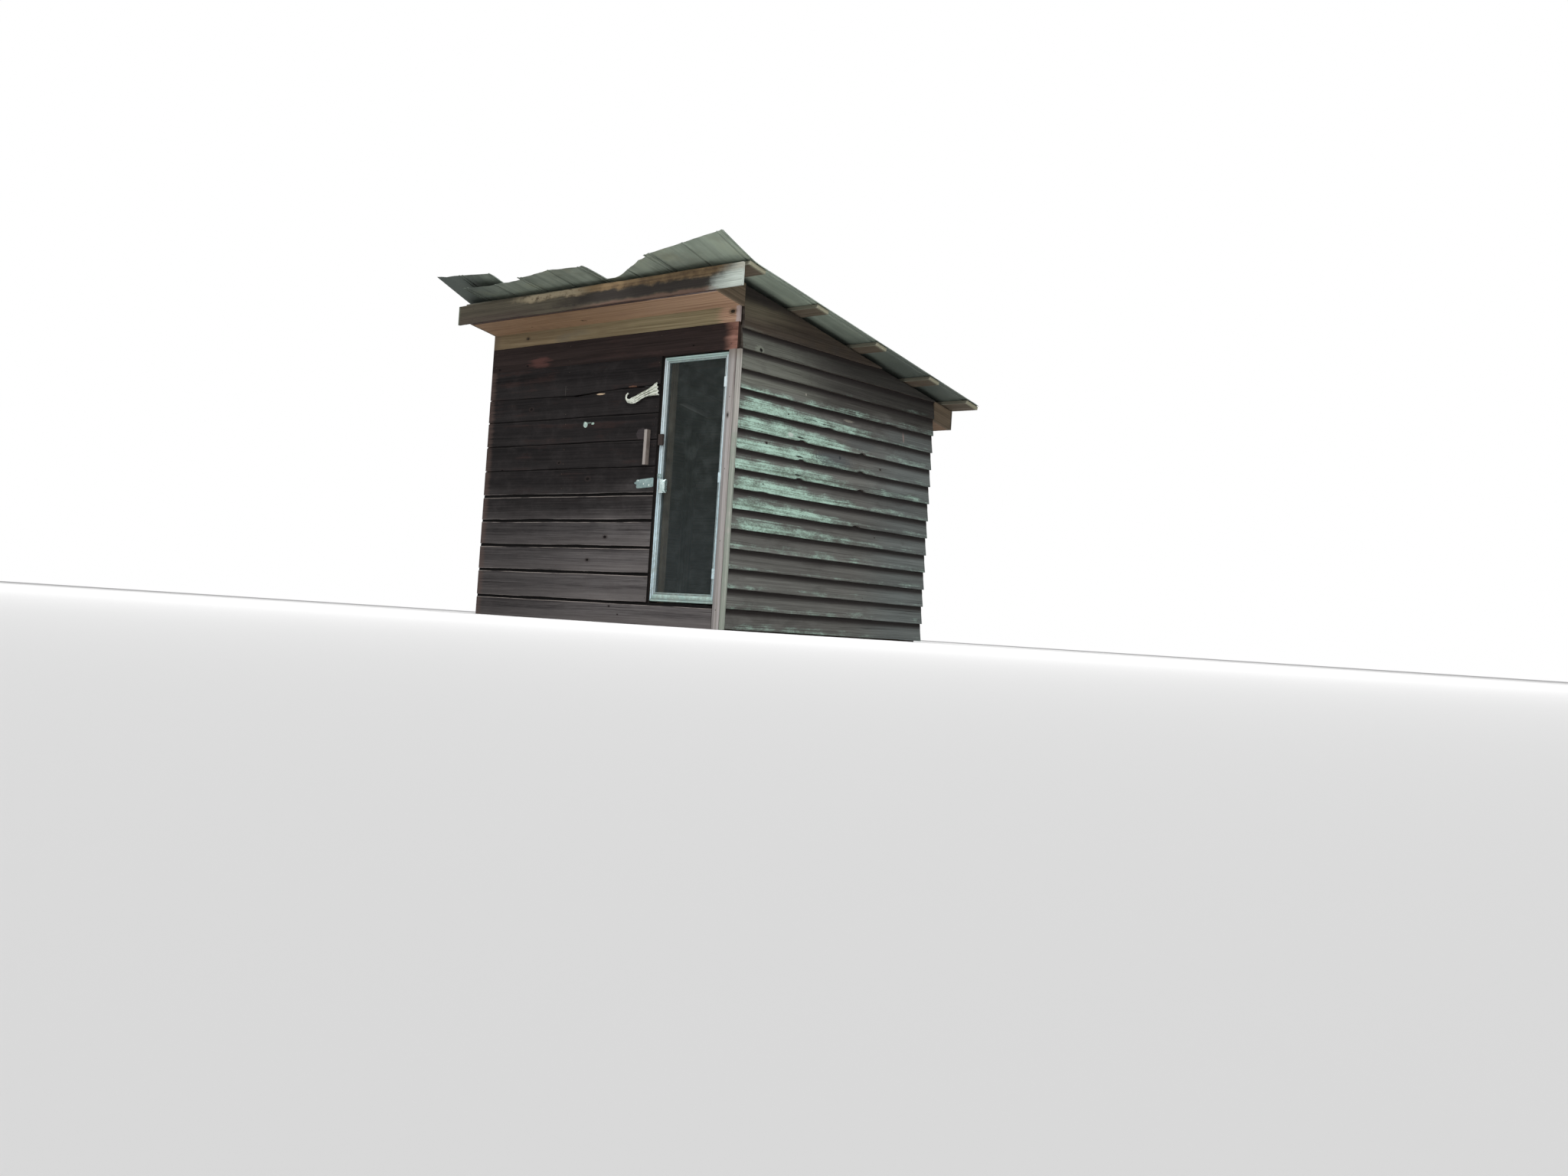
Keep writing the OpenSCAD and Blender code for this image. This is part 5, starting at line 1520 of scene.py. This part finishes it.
def cotton():
    material, shader, place = blank("grimy_cotton")
    cloth = Tone(shader.id_data.nodes.new("ShaderNodeUVMap").outputs["UV"])
    along, across, _ = cloth.parts()
    threads = 4200
    warp = (along * threads).maths("SINE") * 0.5 + 0.5
    weft = (across * threads).maths("SINE") * 0.5 + 0.5
    grime = place.noise(32, 4, 0.65)
    spots = place.noise(95, 3, 0.6)
    colour = grime.rise(0.42, 0.68).paint((0.70, 0.73, 0.65), (0.36, 0.38, 0.32))
    colour = ((spots * 0.6 + grime * 0.4).rise(0.60, 0.70) * 0.6).paint(colour, (0.17, 0.16, 0.12))
    dress(shader, {"Base Color": colour, "Roughness": 0.95, "Specular IOR Level": 0.2,
                   "Normal": (warp * 0.25 + weft * 0.25 + grime * 0.5).bump(0.0005)})
    return material


rag = set_up("twisted_rag", mesh, cotton(), "building", ["rag"], 180)
thick = rag.modifiers.new("cloth_thickness", "SOLIDIFY")
thick.thickness, thick.offset = cloth_t, 0.0

# Studio: a wide pale floor, a white surround, and soft lamps above, in front and behind. The camera
# stands as low as the foot of the walls and is rolled, as in the picture.
scene = bpy.context.scene
scene.view_settings.view_transform = "Standard"
floor_half, floor_z = 60, -0.001
floor_mesh = bpy.data.meshes.new("studio_floor")
floor_mesh.from_pydata([(x * floor_half, y * floor_half, floor_z)
                        for x, y in ((-1, -1), (1, -1), (1, 1), (-1, 1))], [], [[0, 1, 2, 3]])
floor = bpy.data.objects.new("studio_floor", floor_mesh)
scene.collection.objects.link(floor)
pale, pale_shader, pale_place = blank("studio_floor_paint")
dress(pale_shader, {"Base Color": pale_place.noise(0.7, 2, 0.5).paint((0.80, 0.80, 0.80), (0.82, 0.82, 0.82)),
                    "Roughness": 0.95, "Specular IOR Level": 0.1})
floor_mesh.materials.append(pale)

world = bpy.data.worlds.new("studio_surround")
world.use_nodes = True
scene.world = world
tree = world.node_tree
light_path = tree.nodes.new("ShaderNodeLightPath")
seen = Tone(light_path.outputs["Is Camera Ray"])
seen = seen.maths("MAXIMUM", Tone(light_path.outputs["Is Glossy Ray"]))
seen = seen.maths("MAXIMUM", Tone(light_path.outputs["Is Transmission Ray"]))
around = tree.nodes["Background"]
put(around.inputs["Color"], (1.0, 1.0, 1.0))
put(around.inputs["Strength"], seen * 0.55 + 0.45)


def lamp(name, at, aim, size, power):
    """A round lamp that faces a point."""
    data = bpy.data.lights.new(name, "AREA")
    data.shape, data.size, data.energy = "DISK", size, power
    light = bpy.data.objects.new(name, data)
    scene.collection.objects.link(light)
    turn = (Vector(aim) - Vector(at)).to_track_quat("-Z", "Y")
    light.matrix_world = Matrix.Translation(at) @ turn.to_matrix().to_4x4()


lamp("high_lamp", (5.0, -4.0, 8.0), (0.5, 0, 1.0), 4.5, 760)
lamp("front_lamp", (-3.0, -8.5, 5.5), (0, -0.5, 1.2), 6.0, 200)
lamp("back_lamp", (-5.0, 8.0, 6.0), (0, 0.5, 1.2), 6.0, 320)

stand = (7.25719, -7.554, 0.01794)
yaw, tilt, roll = -0.705145605, 0.0295289439, 0.0643323984
focal_pixels, picture_pixels, sensor_w = 1900, 2048, 36
facing = Vector((math.sin(yaw) * math.cos(tilt), math.cos(yaw) * math.cos(tilt), math.sin(tilt)))
level = Vector((math.cos(yaw), -math.sin(yaw), 0))
upright = level.cross(facing)
right = math.cos(roll) * level + math.sin(roll) * upright
over = -math.sin(roll) * level + math.cos(roll) * upright
camera = bpy.data.objects.new("camera", bpy.data.cameras.new("camera"))
scene.collection.objects.link(camera)
camera.data.sensor_width = sensor_w
camera.data.lens = focal_pixels / picture_pixels * sensor_w
camera.data.clip_start, camera.data.clip_end = 0.01, 300
camera.matrix_world = Matrix.Translation(stand) @ Matrix((right, over, -facing)).transposed().to_4x4()
scene.camera = camera
